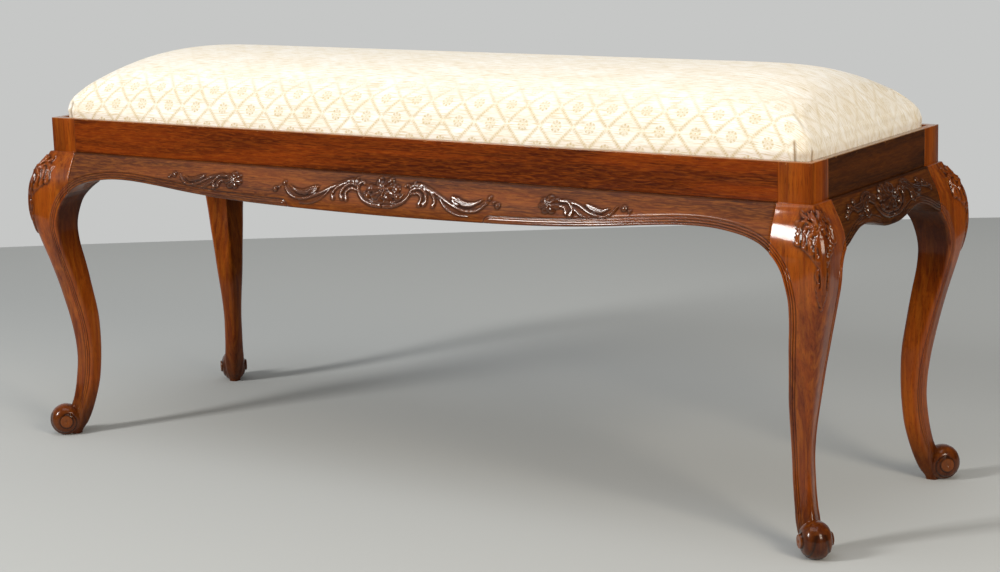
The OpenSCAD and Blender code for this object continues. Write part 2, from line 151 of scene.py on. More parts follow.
# %% Floor, lamps and world
FLOOR_HALF = 1.72
FLOOR_CORNER = 6.0
round_floor = [(math.cos(a), math.sin(a)) for a in np.linspace(0, 2 * math.pi, 96, endpoint=False)]
floor_points = []
for c, s in round_floor:
    far = FLOOR_HALF / (abs(c) ** FLOOR_CORNER + abs(s) ** FLOOR_CORNER) ** (1 / FLOOR_CORNER)
    floor_points.append(Matrix.Rotation(turn, 3, "Z") @ Vector((far * c, far * s, 0)))
floor_mesh = bpy.data.meshes.new("floor")
floor_mesh.from_pydata([tuple(p) for p in floor_points], [], [list(range(len(floor_points)))])
floor = add_object("floor", floor_mesh)
floor_paint, add = empty_material("matt_pale_floor")
shader = add("BsdfDiffuse", {"Color": colour("#b6b9b8")})
add("OutputMaterial", {"Surface": shader})
floor_mesh.materials.append(floor_paint)


def soft_lamp(name, place, target, width, height, watts, tint):
    """A rectangular lamp that looks at a point."""
    data = bpy.data.lights.new(name, "AREA")
    data.shape = "RECTANGLE"
    data.size, data.size_y = width, height
    data.energy = watts
    data.color = colour(tint)[:3]
    away = Vector(place) - Vector(target)
    lamp = add_object(name, data)
    lamp.matrix_world = Matrix.Translation(place) @ away.to_track_quat("Z", "Y").to_matrix().to_4x4()


soft_lamp("key_lamp", (-1.84, -2.95, 2.1), (0.55, -0.19, 0.37), 0.56, 1.15, 104, "#fffcf8")
soft_lamp("top_lamp", (0.1, -0.7, 3.0), (0, -0.4, 0.2), 2.4, 1.6, 22, "#fdfdff")
soft_lamp("fill_lamp", (2.75, -1.25, 1.55), (0.2, 0, 0.3), 0.9, 1.2, 50, "#fff1de")

WALL_WAY = (-0.8, 0.6, 0.05)
world = bpy.data.worlds.new("studio")
bpy.context.scene.world = world
world.use_nodes = True
world.node_tree.nodes.clear()
add = partial(add_node, world.node_tree)
seen = add("LightPath", out="Is Camera Ray")
glossy = add("LightPath", out="Is Glossy Ray")
clear = add("LightPath", out="Is Transmission Ray")
direct = add("Math", {0: seen, 1: clear}, operation="MAXIMUM")
shown = add("Math", {0: direct, 1: glossy}, operation="MAXIMUM")
way = add("TexCoord", out="Generated")
toward_wall = add("VectorMath", {0: way, 1: WALL_WAY}, out="Value", operation="DOT_PRODUCT")
room = add("MapRange", {0: toward_wall, 1: 0.35, 2: 0.8, 3: 0.05, 4: 1.0})
strength = add("Math", {0: direct, 1: room}, operation="MAXIMUM")
backdrop = add("Background", {"Color": colour("#c6c7c6"), "Strength": strength})
# Light comes down from the ceiling, and little comes in level, so it is dark under the seat.
overhead = add("SeparateXYZ", {0: way}, out="Z")
overhead = add("MapRange", {0: overhead, 1: 0.0, 2: 1.0, 3: 0.12, 4: 0.56})
daylight = add("Background", {"Color": colour("#f1f1f1"), "Strength": overhead})
mixed = add("MixShader", {0: shown, 1: daylight, 2: backdrop})
add("OutputWorld", {"Surface": mixed})

# %% [markdown]
# ## Mahogany under French polish
# Mahogany is a red-brown hardwood with long dark bands, a fine interlocked grain and short open
# pores. Shellac rubbed on in many coats lies over it as a clear, warm gloss. Painted shade darkens
# the hollows of the carving and its cut lines, and old wax darkens the carving itself. The grain runs
# along each board, so the finish is made once for each direction. Real pores are a third of a
# millimetre wide, finer than the picture can show, so they are drawn 0.9 mm wide.

# %% Mahogany
# Sizes in mm across the grain and along it.
BANDS = 26.0, 420
GRAIN = 2.0, 110
PORES = 0.9, 11
NICKS = 2.5, 7
RIPPLE = 16, 50
FOOT_DARK, FOOT_CLEAR = 30, 80
RIM_LIGHT_FROM, RIM_LIGHT_FULL = 1.2, 0.4


def stretched(add, place, across_mm, along_mm, axis, detail=3.0, twist=0.0, cut=None, ramp="LINEAR"):
    """Noise drawn out along the grain, with its sizes in mm. A cut from low to high becomes 0 to 1."""
    steps = [1 / (across_mm * MM)] * 3
    steps[axis] = 1 / (along_mm * MM)
    scaled = add("Mapping", {"Vector": place, "Scale": steps})
    noise = add("TexNoise", {"Vector": scaled, "Scale": 1.0, "Detail": detail, "Distortion": twist})
    if cut is None:
        return noise
    return add("MapRange", {0: noise, 1: cut[0], 2: cut[1]}, interpolation_type=ramp)


def mahogany(name, axis, deep, middle, light, fleck_mm=(2.0, 18), carved=False):
    """Polished mahogany with its grain along x, y or z, as axis 0, 1 or 2."""
    material, add = empty_material(name)
    place = add("TexCoord", out="Object")
    bands = stretched(add, place, *BANDS, axis, 4.0, 0.6, (0.38, 0.62), "SMOOTHSTEP")
    grain = stretched(add, place, *GRAIN, axis, 4.0, 0.2, (0.28, 0.7))
    pores = stretched(add, place, *PORES, axis, 2.0, 0.0, (0.56, 0.7))
    # Ribbon figure: light flecks a few centimetres long, where the grain interlocks.
    ribbon = stretched(add, place, *fleck_mm, axis, 4.0, 0.8, (0.42, 0.72))
    fleck = add("Math", {0: ribbon, 1: 0.4}, operation="MULTIPLY")
    speck = add("Math", {0: pores, 1: 0.45}, operation="MULTIPLY")
    streak = add("Math", {0: grain, 1: 0.4}, operation="MULTIPLY")
    streak = add("Math", {0: bands, 1: 0.6, 2: streak}, operation="MULTIPLY_ADD")
    # Painted shade darkens the hollows, the cut lines and the shaded faces, old wax darkens the carving, and
    # handling wears the high edges lighter.
    hollow = add("Attribute", out="Fac", attribute_name="hollow")
    worn = add("Attribute", out="Fac", attribute_name="worn")
    # The rim's top edge is painted lighter: partly worn colour with a few nicks where the seat is dropped in,
    # and partly a painted highlight along the edge.
    height = add("SeparateXYZ", {0: place}, out="Z")
    nicks = stretched(add, place, *NICKS, axis, 1.0)
    nicks = add("MapRange", {0: nicks, 1: 0.68, 2: 0.72, 4: NICKS[0] * MM})
    nicks = add("Math", {0: height, 1: nicks}, operation="ADD")
    rim = add("MapRange", {0: nicks, 1: (frame_h - RIM_LIGHT_FROM) * MM, 2: (frame_h - RIM_LIGHT_FULL) * MM, 4: 0.4})
    # Floor polish and shoes have darkened the feet, but not where they are rubbed.
    foot = add("MapRange", {0: height, 1: FOOT_DARK * MM, 2: FOOT_CLEAR * MM, 3: 0.65, 4: 0.0})
    kept = add("Math", {0: worn, 1: foot}, operation="MULTIPLY")
    foot = add("Math", {0: foot, 1: kept}, operation="SUBTRACT")
    wood = colour(deep)
    for share, code in ((streak, middle), (fleck, light), (speck, "#2a0c03"), (hollow, "#1a0804"),
                        (worn, "#a9622c"), (rim, "#b98452"), (foot, "#200f05")):
        wood = add("Mix", {0: share, 6: wood, 7: colour(code)}, **COLOURS)
    # The polish sinks a little into the pores, and rubbing leaves a slow ripple in it.
    sink = add("Bump", {"Height": pores, "Strength": 0.1, "Distance": 0.2 * MM}, invert=True)
    ripple = stretched(add, place, *RIPPLE, axis, 1.0)
    coat = add("Bump", {"Height": ripple, "Strength": 0.3, "Distance": 0.8 * MM})
    if carved:
        # Round the carving the ground was only waxed. What stands up was rubbed bright.
        polish = add("Attribute", out="Fac", attribute_name="rubbed")
        finish = {"Roughness": 0.5, "Specular IOR Level": 0.1, "Coat Roughness": 0.12, "Coat IOR": 1.5}
    else:
        # The faces of the legs that look into the frame have less polish than the rest.
        dull = add("Attribute", out="Fac", attribute_name="dull")
        polish = add("MapRange", {0: dull, 3: 0.9, 4: 0.0})
        finish = {"Roughness": 0.4, "Specular IOR Level": 0.06, "Coat Roughness": 0.13, "Coat IOR": 1.38}
    shader = add("BsdfPrincipled", {"Base Color": wood, "IOR": 1.5, "Coat Weight": polish, "Normal": sink,
                                    "Coat Normal": coat, **finish})
    add("OutputMaterial", {"Surface": shader})
    return material


wood_x = mahogany("french_polished_mahogany_x", 0, "#351002", "#803305", "#aa5612")
wood_y = mahogany("french_polished_mahogany_y", 1, "#210d02", "#4f2605", "#6f3e0d")
wood_z = mahogany("french_polished_mahogany_z", 2, "#5a2204", "#934408", "#b46516", (6, 120))
apron_x = mahogany("waxed_carved_mahogany_x", 0, "#3a1603", "#7a3c12", "#a2601f", carved=True)
apron_y = mahogany("waxed_carved_mahogany_y", 1, "#241003", "#55290b", "#7a4a18", carved=True)
print("mahogany:", wood_x.name, wood_y.name, wood_z.name)

# %% [markdown]
# ## Plain woods, brass and cloth
# What the polish doesn't cover is beech, planed and left bare: pale, matt, with short brown rays.
# The screws are brass gone dull. The webs are jute in a broken twill, the hessian is a coarse
# plain weave, and the cloth underneath is black calico. Their real threads are 0.3 to 1.5 mm wide,
# and the finer ones are drawn at 1.2 mm so that they show.

# %% Beech, brass, jute, hessian and calico


def beech(name, axis):
    """Bare planed beech with its grain along x, y or z."""
    material, add = empty_material(name)
    place = add("TexCoord", out="Object")
    rings = stretched(add, place, 9, 300, axis, 3.0, 0.4)
    rays = stretched(add, place, 0.9, 5, axis, 1.0)
    rays = add("MapRange", {0: rays, 1: 0.6, 2: 0.72, 4: 0.5})
    wood = add("Mix", {0: rings, 6: colour("#d9b386"), 7: colour("#b98b5b")}, **COLOURS)
    wood = add("Mix", {0: rays, 6: wood, 7: colour("#8d6238")}, **COLOURS)
    rough = add("Bump", {"Height": rings, "Strength": 0.2, "Distance": 0.3 * MM})
    shader = add("BsdfPrincipled", {"Base Color": wood, "Roughness": 0.62, "IOR": 1.5,
                                    "Normal": rough})
    add("OutputMaterial", {"Surface": shader})
    return material


def dull_brass(name):
    """Brass that has gone brown and dull in patches."""
    material, add = empty_material(name)
    place = add("TexCoord", out="Object")
    spots = stretched(add, place, 4, 4, 0, 4.0)
    metal = add("Mix", {0: spots, 6: colour("#8a6f3c"), 7: colour("#c8a55c")}, **COLOURS)
    shader = add("BsdfPrincipled", {"Base Color": metal, "Metallic": 1.0, "Roughness": 0.42})
    add("OutputMaterial", {"Surface": shader})
    return material


def plain_weave(name, thread_mm, dark, light, roughness):
    """Cloth of crossing threads, seen from above."""
    material, add = empty_material(name)
    place = add("TexCoord", out="Object")
    scaled = add("Mapping", {"Vector": place, "Scale": [math.pi / (thread_mm * MM)] * 3})
    x = add("SeparateXYZ", {0: scaled}, out="X")
    y = add("SeparateXYZ", {0: scaled}, out="Y")
    warp = add("Math", {0: x}, operation="SINE")
    weft = add("Math", {0: y}, operation="SINE")
    over = add("Math", {0: warp, 1: weft}, operation="MULTIPLY")
    over = add("MapRange", {0: over, 1: -1.0, 2: 1.0})
    slub = stretched(add, place, 2 * thread_mm, 30, 0, 3.0)
    share = add("Math", {0: over, 1: slub}, operation="MULTIPLY")
    cloth = add("Mix", {0: share, 6: colour(dark), 7: colour(light)}, **COLOURS)
    raised = add("Bump", {"Height": over, "Strength": 0.5, "Distance": 0.4 * MM})
    shader = add("BsdfPrincipled", {"Base Color": cloth, "Roughness": roughness,
                                    "Specular IOR Level": 0.2, "Normal": raised})
    add("OutputMaterial", {"Surface": shader})
    return material


beech_x = beech("planed_beech_x", 0)
beech_y = beech("planed_beech_y", 1)
brass = dull_brass("dull_brass")
jute = plain_weave("jute_webbing", 1.6, "#5f4c2c", "#a58c5c", 0.85)
sacking = plain_weave("hessian_sacking", 1.5, "#6a5530", "#b69a66", 0.9)
calico = plain_weave("black_calico", 1.2, "#0e0d0c", "#2c2926", 0.8)
print("underside:", beech_x.name, brass.name, jute.name, sacking.name, calico.name)

# %% [markdown]
# ## Curves and meshes
# The frame was drawn from smooth curves through a few places. The same curves are used here with
# far more steps, so the finished skin lies on the frame's own surface. Grids of points are held in
# numpy arrays, and one function makes a mesh out of them.

# %% Curve and mesh helpers


def along(table, x):
    """Smooth curve through a table of [place, value] pairs, level at both of its ends."""
    place, value = np.array(table, float).T
    slope = np.zeros(len(place))
    slope[1:-1] = (value[2:] - value[:-2]) / (place[2:] - place[:-2])
    x = np.clip(x, place[0], place[-1])
    i = np.clip(np.searchsorted(place, x) - 1, 0, len(place) - 2)
    h = place[i + 1] - place[i]
    t = (x - place[i]) / h
    return ((2 * t**3 - 3 * t**2 + 1) * value[i] + (t**3 - 2 * t**2 + t) * h * slope[i]
            + (3 * t**2 - 2 * t**3) * value[i + 1] + (t**3 - t**2) * h * slope[i + 1])


def ease(t):
    """Smooth step from 0 to 1."""
    c = np.clip(t, 0, 1)
    return c * c * (3 - 2 * c)


def mix(a, b, t):
    """From a at 0 to b at 1."""
    return a + (b - a) * t


def grid_faces(rows, columns, closed=False, first=0):
    """Faces of a grid of points stored row by row. A closed grid joins its last column to its first."""
    r, c = np.meshgrid(np.arange(rows - 1), np.arange(columns if closed else columns - 1), indexing="ij")
    a = first + r * columns + c
    b = first + r * columns + (c + 1) % columns
    return np.stack([a, b, b + columns, a + columns], -1).reshape(-1, 4).tolist()


def make_object(name, points, faces, material, smooth=True, **attributes):
    """An object from points in mm. Each attribute is one number for each point."""
    mesh = bpy.data.meshes.new(name)
    mesh.from_pydata((np.array(points) * MM).tolist(), [], faces)
    mesh.validate()
    for key, values in attributes.items():
        mesh.attributes.new(key, "FLOAT", "POINT").data.foreach_set("value", np.ravel(values))
    mesh.materials.append(material)
    if smooth:
        mesh.shade_smooth()
    else:
        mesh.shade_flat()
    return add_object(name, mesh)


def grid_normals(points):
    """Unit normals of a grid of points with shape (rows, columns, 3)."""
    down = np.gradient(points, axis=0)
    across = np.gradient(points, axis=1)
    normal = np.cross(across, down)
    return normal / np.maximum(np.linalg.norm(normal, axis=-1, keepdims=True), 1e-9)


def turn_outward(mesh):
    """Turns every face outward, and tells the volume in cm3 and the number of open edges."""
    bm = bmesh.new()
    bm.from_mesh(mesh)
    bmesh.ops.recalc_face_normals(bm, faces=bm.faces)
    bm.to_mesh(mesh)
    told = round(bm.calc_volume() * 1e6, 1), sum(len(edge.link_faces) != 2 for edge in bm.edges)
    bm.free()
    return told


print("half way up the curve:", along([[0, 0], [1, 10]], 0.5))

# %% [markdown]
# ## Carving
# A carver leaves a shallow relief: stems, leaves and flower heads stand up from a ground that is cut
# down round them. It could be sculpted by hand, but here each motif is a height over the surface,
# worked out from its distance to a smooth line. Motifs that meet don't add up: the higher one
# shows, as it does in wood. The hollows between them are found by blurring, and get painted shade.

# %% Carving helpers


def smooth_line(points, steps=10):
    """Catmull-Rom curve through given points."""
    p = np.array(points, float)
    p = np.vstack([2 * p[0] - p[1], p, 2 * p[-1] - p[-2]])
    t = np.linspace(0, 1, steps, endpoint=False)[:, None]
    parts = [0.5 * (2 * b + (c - a) * t + (2 * a - 5 * b + 4 * c - d) * t**2 + (3 * b - a - 3 * c + d) * t**3)
             for a, b, c, d in zip(p[:-3], p[1:-2], p[2:-1], p[3:])]
    return np.vstack(parts + [p[-2:-1]])


def carve(height, u, v, points, width, rise, shape="stem", groove=0.0):
    """Raises a motif along a line on the height map. Width is its full width and rise its height."""
    line = smooth_line(points)
    low, high = line.min(0) - width, line.max(0) + width
    near = (u > low[0]) & (u < high[0]) & (v > low[1]) & (v < high[1])
    if not near.any():
        return
    place = np.stack([u[near], v[near]], -1)
    best = np.full(len(place), 1e9)
    share = np.zeros(len(place))
    for k in range(len(line) - 1):
        a, b = line[k], line[k + 1]
        t = np.clip(((place - a) @ (b - a)) / max((b - a) @ (b - a), 1e-9), 0, 1)
        away = np.linalg.norm(place - a - t[:, None] * (b - a), axis=1)
        closer = away < best
        best[closer] = away[closer]
        share[closer] = (k + t[closer]) / (len(line) - 1)
    half = width / 2 * {
        "stem": 1 - 0.45 * share,
        "strap": 0.72 + 0.1 * share + 0.45 * np.exp(-(((share - 1) / 0.16) ** 2)),
        "leaf": 1.15 * np.sin(np.pi * np.clip(share * 0.94 + 0.03, 0, 1) ** 0.7) ** 0.8
        * (0.84 + 0.16 * np.abs(np.cos(share * np.pi * 4.5))),
    }[shape]
    across = np.clip(best / np.maximum(half, 0.05), 0, 1)
    lift = rise * np.sqrt(1 - across**2)
    lift *= 1 - groove * np.exp(-((across / 0.22) ** 2))
    height[near] = np.maximum(height[near], np.where(best < half, lift, 0))


def bud(height, u, v, centre, radius, rise):
    """A small round bud."""
    away = np.hypot(u - centre[0], v - centre[1]) / radius
    height[:] = np.maximum(height, rise * np.sqrt(np.clip(1 - away**2, 0, 1)))


def petals(height, u, v, centre, radii, count, rise, turn=0.0):
    """A ring of cupped petals round a flower's centre."""
    a = (u - centre[0]) / radii[0]
    b = (v - centre[1]) / radii[1]
    away = np.hypot(a, b)
    beat = np.abs(np.cos((np.arctan2(b, a) + turn) * count / 2))
    edge = 0.66 + 0.34 * np.sqrt(beat)
    inside = np.clip(away / edge, 0, 1)
    cup = np.sqrt(np.clip(1 - inside**4, 0, 1)) * (0.45 + 0.55 * np.clip((inside - 0.05) / 0.45, 0, 1))
    height[:] = np.maximum(height, np.where(away < edge, rise * cup * (0.35 + 0.65 * beat**0.6), 0))


def blurred(field, reach):
    """Mean of a grid over a square window that reaches the given number of cells each way."""
    for axis in (0, 1):
        pad = [(0, 0), (0, 0)]
        pad[axis] = (reach + 1, reach)
        total = np.cumsum(np.pad(field, pad, mode="edge"), axis=axis)
        size = total.shape[axis]
        field = (np.take(total, np.arange(2 * reach + 1, size), axis)
                 - np.take(total, np.arange(0, size - 2 * reach - 1), axis)) / (2 * reach + 1)
    return field


def shade_of(height, reach, strength):
    """How deep each point lies below its surroundings, from 0 to 1, and how high above them."""
    mean = blurred(height, reach)
    return np.clip((mean - height) * strength, 0, 0.85), np.clip((height - mean - 0.5) * 0.3, 0, 0.35)


def strokes(height, u, v, table, sides=(-1, 1)):
    """Carves the stems and leaves of a table, and their mirror images unless told otherwise."""
    for side in sides:
        for points, *form in table:
            carve(height, u, v, [(side * x, y) for x, y in points], *form)


def buds(height, u, v, table, sides=(-1, 1)):
    """Carves the buds of a table, and their mirror images unless told otherwise."""
    for side in sides:
        for x, y, radius, rise in table:
            bud(height, u, v, (side * x, y), radius, rise)


print("stem of", len(smooth_line([(0, 0), (5, 2), (9, 0)])), "points")

# %% [markdown]
# ## The shared outline
# The lower edge of an apron runs on without a break into the inner edge of the leg. Along it the
# carver cut three fine lines, with reeds between them. The lines keep the same distance from the
# edge on both pieces, so both measure it to one curve. That curve is laid out flat: the first
# number is the distance past the joint, towards the corner, and the second is the height.

# %% Outline tables
STILE = 42.0
KNEE_OUT = 31.0
LEG_ROUND = 16.0
LEDGE = 4.0
LEDGE_ROUND = 1.6
APRON_T = 22.0
APRON_DROP = 57.0
APRON_SWELL = 16.0
FLARE_L = 120.0
EDGE_ROUND = 2.5
EDGE_END_SHARE = 0.96
long_l = half_w - STILE
short_l = half_d - STILE
joint_share = 1 - EDGE_END_SHARE * APRON_DROP / leg_h

# Places along a leg are shares of leg_h. The values are shares of KNEE_OUT, LEG_ROUND and STILE.
outer_shares = [[0, 0.2], [0.085, 0.12], [0.13, -0.02], [0.19, -0.13], [0.28, -0.2], [0.38, -0.1],
                [0.5, 0.16], [0.6, 0.43], [0.71, 0.78], [0.79, 0.99], [0.85, 1], [0.9, 0.88],
                [0.945, 0.6], [0.98, 0.27], [1, 0.13]]
slim_shares = [[0, 0.15], [0.1, 0.2], [0.2, 0.32], [0.35, 0.3], [0.5, 0.15], [0.62, 0.05],
               [0.75, 0.12], [0.85, 0.5], [0.95, 0.26], [1, 0]]
inner_shares = [[0, 0.24], [0.04, 0.41], [0.09, 0.57], [0.18, 0.76], [0.26, 0.835], [0.34, 0.855],
                [0.42, 0.83], [0.5, 0.74], [0.6, 0.61], [0.67, 0.5], [0.72, 0.455], [0.75, 0.46],
                [0.78, 0.515], [0.815, 0.63], [joint_share - 0.02, 0.815], [joint_share, 1],
                [joint_share + 0.0155, 1.19]]
soft_shares = [[0, 0.3], [0.1, 0.5], [0.25, 0.7], [0.5, 0.5], [0.72, 0.25], [0.84, 0.04], [1, 0.04]]
nose_shares = [[0, 0.5], [0.25, 0.6], [0.6, 1], [0.85, 1.1], [0.95, 0.6], [1, 0.06]]
# Depth of an apron at a share of its half length, as a share of APRON_DROP.
long_edge_shares = [[0, 0.87], [0.2, 0.855], [0.38, 0.82], [0.5, 0.77], [0.6, 0.7], [0.7, 0.61],
                    [0.79, 0.55], [0.86, 0.555], [0.92, 0.63], [0.955, 0.715], [0.98, 0.82],
                    [1, EDGE_END_SHARE], [1.02, 1.12]]
end_edge_shares = [[0, 0.845], [0.15, 0.83], [0.3, 0.755], [0.42, 0.68], [0.54, 0.645], [0.66, 0.665],
                   [0.76, 0.73], [0.86, 0.825], [0.93, 0.9], [1, EDGE_END_SHARE], [1.07, 1.04]]


def knee(z):
    """How far the nose of the leg stands outside the corner of its stile at a height."""
    return KNEE_OUT * along(outer_shares, z / leg_h)


def flank(z):
    """How far the faces of the leg stand out beside its nose."""
    return knee(z) - LEG_ROUND * along(slim_shares, z / leg_h)


def ledge_round(z):
    """How far the top of the ledge is rounded back at a height."""
    share = np.clip((z - leg_h + LEDGE_ROUND) / LEDGE_ROUND, 0, 1)
    return LEDGE_ROUND * (1 - np.sqrt(1 - share**2))


# Distances from the edge at which points are laid: closer where the lines are cut.
EDGE_STEPS = np.array([0, 0.35, 0.8, 1.3, 1.9, 2.5, 3.0, 3.4, 3.8, 4.4, 5.0, 5.6, 6.0, 6.4, 6.8, 7.5, 8.3,
                       8.9, 9.4, 9.9, 10.6, 11.6, 12.8])
LINES = [3.4, 6.4, 9.4]
LINE_W = 0.7


def edge_distance(half_l, edge_shares, w, z):
    """Distance of points in the flat layout from the edge that apron and leg share."""
    share = np.linspace(0.3, 1, 900)
    down = np.linspace(joint_share * leg_h, 0, 1200)
    edge_w = np.concatenate([(share - 1) * half_l, STILE - STILE * along(inner_shares, down / leg_h)])
    edge_z = np.concatenate([leg_h - APRON_DROP * along(edge_shares, share), down])
    result = np.empty(w.size)
    flat = np.stack([w.ravel(), z.ravel()], -1)
    for start in range(0, len(flat), 4000):
        part = flat[start : start + 4000]
        gap = (part[:, :1] - edge_w) ** 2 + (part[:, 1:] - edge_z) ** 2
        result[start : start + 4000] = np.sqrt(gap.min(1))
    return result.reshape(w.shape)


def reeds(e, outer_deep, inner_deep):
    """Height of the reeds and lines at a distance from the edge."""
    depth = [inner_deep, inner_deep, outer_deep]
    cut = sum(d * np.exp(-(((e - line) / LINE_W) ** 2)) for d, line in zip(depth, LINES))
    swell = np.where((e > LINES[0]) & (e < LINES[2]), np.abs(np.sin(np.pi * (e - LINES[0]) / 3)), 0)
    return 0.45 * inner_deep * swell - 0.95 * cut


print("long apron runs", long_l, "mm each way and an end apron", short_l)

# %% [markdown]
# ## Aprons
# An apron is a board whose face swells below the ledge, flares out to meet the knees and ends in a
# wavy lower edge. The long ones carry a garland in the middle, a flower head in a cradle of scrolls
# with a trailing stem each way, and a smaller spray on each side. The ends carry one garland. Each
# is laid out in mm from the middle of the board, and sideways from a line at mid height.

# %% Garlands
MOTIF_Z = leg_h - 21.0
# Each stem or leaf is its points, its full width, its rise, its form and the depth of its groove,
# and each bud is its place, its radius and its rise.
TRAIL = [
    ([(38, 9), (50, 12), (64, 9), (84, 1), (104, -8), (124, -14), (143, -12), (156, -2)],
     5.0, 2.3, "stem", 0.35),
    ([(41, 5), (52, 8), (62, 3), (66, -6), (63, -10)], 5.0, 2.6, "strap", 0.3),
    ([(43, 1), (52, 2), (58, -4), (56, -11)], 4.6, 2.3, "strap", 0.3),
    ([(60, 8), (72, 3), (79, -6), (77, -11)], 4.6, 2.4, "strap", 0.3),
    ([(84, -1), (96, -12), (112, -19), (130, -20)], 3.4, 1.7, "stem", 0.2),
    ([(103, 1), (112, -2), (124, -6), (137, -5), (150, 1)], 7.0, 2.8, "leaf", 0.4),
    ([(103, 1), (108, -5), (117, -9)], 5.0, 2.4, "leaf", 0.4),
]
TRAIL_BUDS = [(158, 3, 3.4, 2.4), (171, -5, 3.8, 2.8), (165, -2, 2.4, 1.8)]
CRADLE = [
    ([(3, -16), (16, -15), (30, -10), (39, -1), (40, 7), (35, 11), (31, 8)], 4.8, 2.5, "stem", 0.3),
    ([(3, -11), (14, -11), (25, -7), (31, 0)], 3.6, 2.0, "stem", 0.2),
    ([(40, 3), (46, 9), (44, 14)], 3.4, 2.4, "strap"),
]
MIDDLE_BUDS = [(-22, 4, 5, 3.4), (-24, -5, 5, 3.4), (19, 5, 5.4, 3.4), (22, -4, 4.6, 3.4), (-9, 14, 4.6, 3.4),
               (8, 14.5, 4.4, 3.4)]
SPRAY = [
    ([(257, 6), (268, 5), (276, -3), (274, -9)], 5.2, 2.6, "strap", 0.3),
    ([(256, 0), (264, -1), (268, -7)], 4.6, 2.2, "strap", 0.3),
    ([(262, 7), (282, 3), (300, -5), (318, -8), (330, -3), (336, 4)], 4.2, 2.1, "stem", 0.3),
    ([(293, 4), (304, 0), (316, -2), (327, 2)], 6.4, 2.6, "leaf", 0.4),
    ([(274, 1), (286, -7), (298, -11)], 3.4, 1.8, "leaf", 0.2),
]
SPRAY_BUDS = [(345, 3, 4.0, 2.8), (353, 0, 2.6, 2.0)]
END_TRAIL = [
    ([(38, 8), (48, 15), (60, 14), (72, 7), (86, 6), (100, 4), (114, 0)], 4.6, 2.3, "stem", 0.3),
    ([(42, 4), (52, 8), (60, 3), (60, -5)], 5.4, 2.7, "strap", 0.3),
    ([(50, 12), (62, 8), (68, -1), (65, -7)], 5.0, 2.5, "strap", 0.3),
    ([(66, 9), (76, 4), (88, 2), (98, 8)], 6.4, 2.7, "leaf", 0.4),
    ([(70, 3), (78, -2), (88, -3)], 4.6, 2.2, "leaf", 0.4),
]
END_BUDS = [(15, 13, 5, 3.4), (23, 6, 4.6, 3.4), (24, -4, 4.4, 3.4), (8, 16, 4.2, 3.4), (88, 11, 3.4, 2.6),
            (103, 7, 3.4, 2.6), (110, 3, 2.8, 2.6), (117, -1, 3.2, 2.6)]


def flower(height, u, v, centre, size, count, rise):
    """A flower head: two rings of petals round a seeded eye."""
    petals(height, u, v, centre, (size, size * 0.72), count, rise * 0.72, 0.2)
    petals(height, u, v, centre, (size * 0.62, size * 0.46), count - 2, rise, 0.5)
    for k in range(5):
        angle = 2 * math.pi * k / 5
        place = (centre[0] + 0.13 * size * math.cos(angle), centre[1] + 0.11 * size * math.sin(angle))
        bud(height, u, v, place, 0.1 * size, rise * 1.02)


def long_carving(height, u, v):
    """A flower head in its cradle, a stem that trails each way, and a spray beyond each stem."""
    flower(height, u, v, (0, 1.5), 22, 8, 5.0)
    buds(height, u, v, MIDDLE_BUDS, sides=(1,))
    for side in (-1, 1):
        flower(height, u, v, (side * 243, 1), 15.5, 7, 4.0)
    strokes(height, u, v, CRADLE + TRAIL + SPRAY)
    buds(height, u, v, TRAIL_BUDS + SPRAY_BUDS)


def end_carving(height, u, v):
    """The garland of an end apron, closer and thicker than that of a long one."""
    flower(height, u, v, (0, 3), 20, 8, 4.6)
    strokes(height, u, v, CRADLE + END_TRAIL)
    buds(height, u, v, END_BUDS)


print("strokes in a long apron:", 2 * len(CRADLE + TRAIL + SPRAY), "and in an end one:",
      2 * len(CRADLE + END_TRAIL))

# %% [markdown]
# The skin of an apron is a row of upright sections. They lie a millimetre apart where there is
# carving, and further apart elsewhere. Each section goes up the face, over the ledge, and down the
# plain back. The face is rubbed bright where it stands up, and dull with old wax round about. Its
# hollows and cut lines, and a line under the rail, are darkened with painted shade.

# %% Aprons
ROWS_UP = 38
LEDGE_STEPS = 5
FINE_MM, PLAIN_MM = 1.0, 3.2
SWELL_DEPTH = APRON_DROP * 0.8
JOINT_LINE = 0.5
BACK_STEP = 5.0
REED_ZONE = 13.0
REEDS_FROM, REEDS_OVER = 0.55, 0.25
WAX_AND_SHADE = 0.5


def standing(height):
    """From 0 on the ground of a carving to 1 where it stands half a millimetre or more above it."""
    return np.clip(height / 0.5, 0, 1)


def shade_and_relief(height, lines, wax):
    """Where painted shade and old wax darken the wood, where edges are worn, and how far the surface stands
    out in all.
    """
    hollow, worn = shade_of(height, 3, 0.9)
    # The cut lines are darkened as well: painted shade in the grooves.
    hollow = np.maximum(hollow, np.clip(-lines * 0.8, 0, 0.8))
    return np.maximum(hollow, wax * standing(height)), worn, np.where(height > 0.05, height, lines)


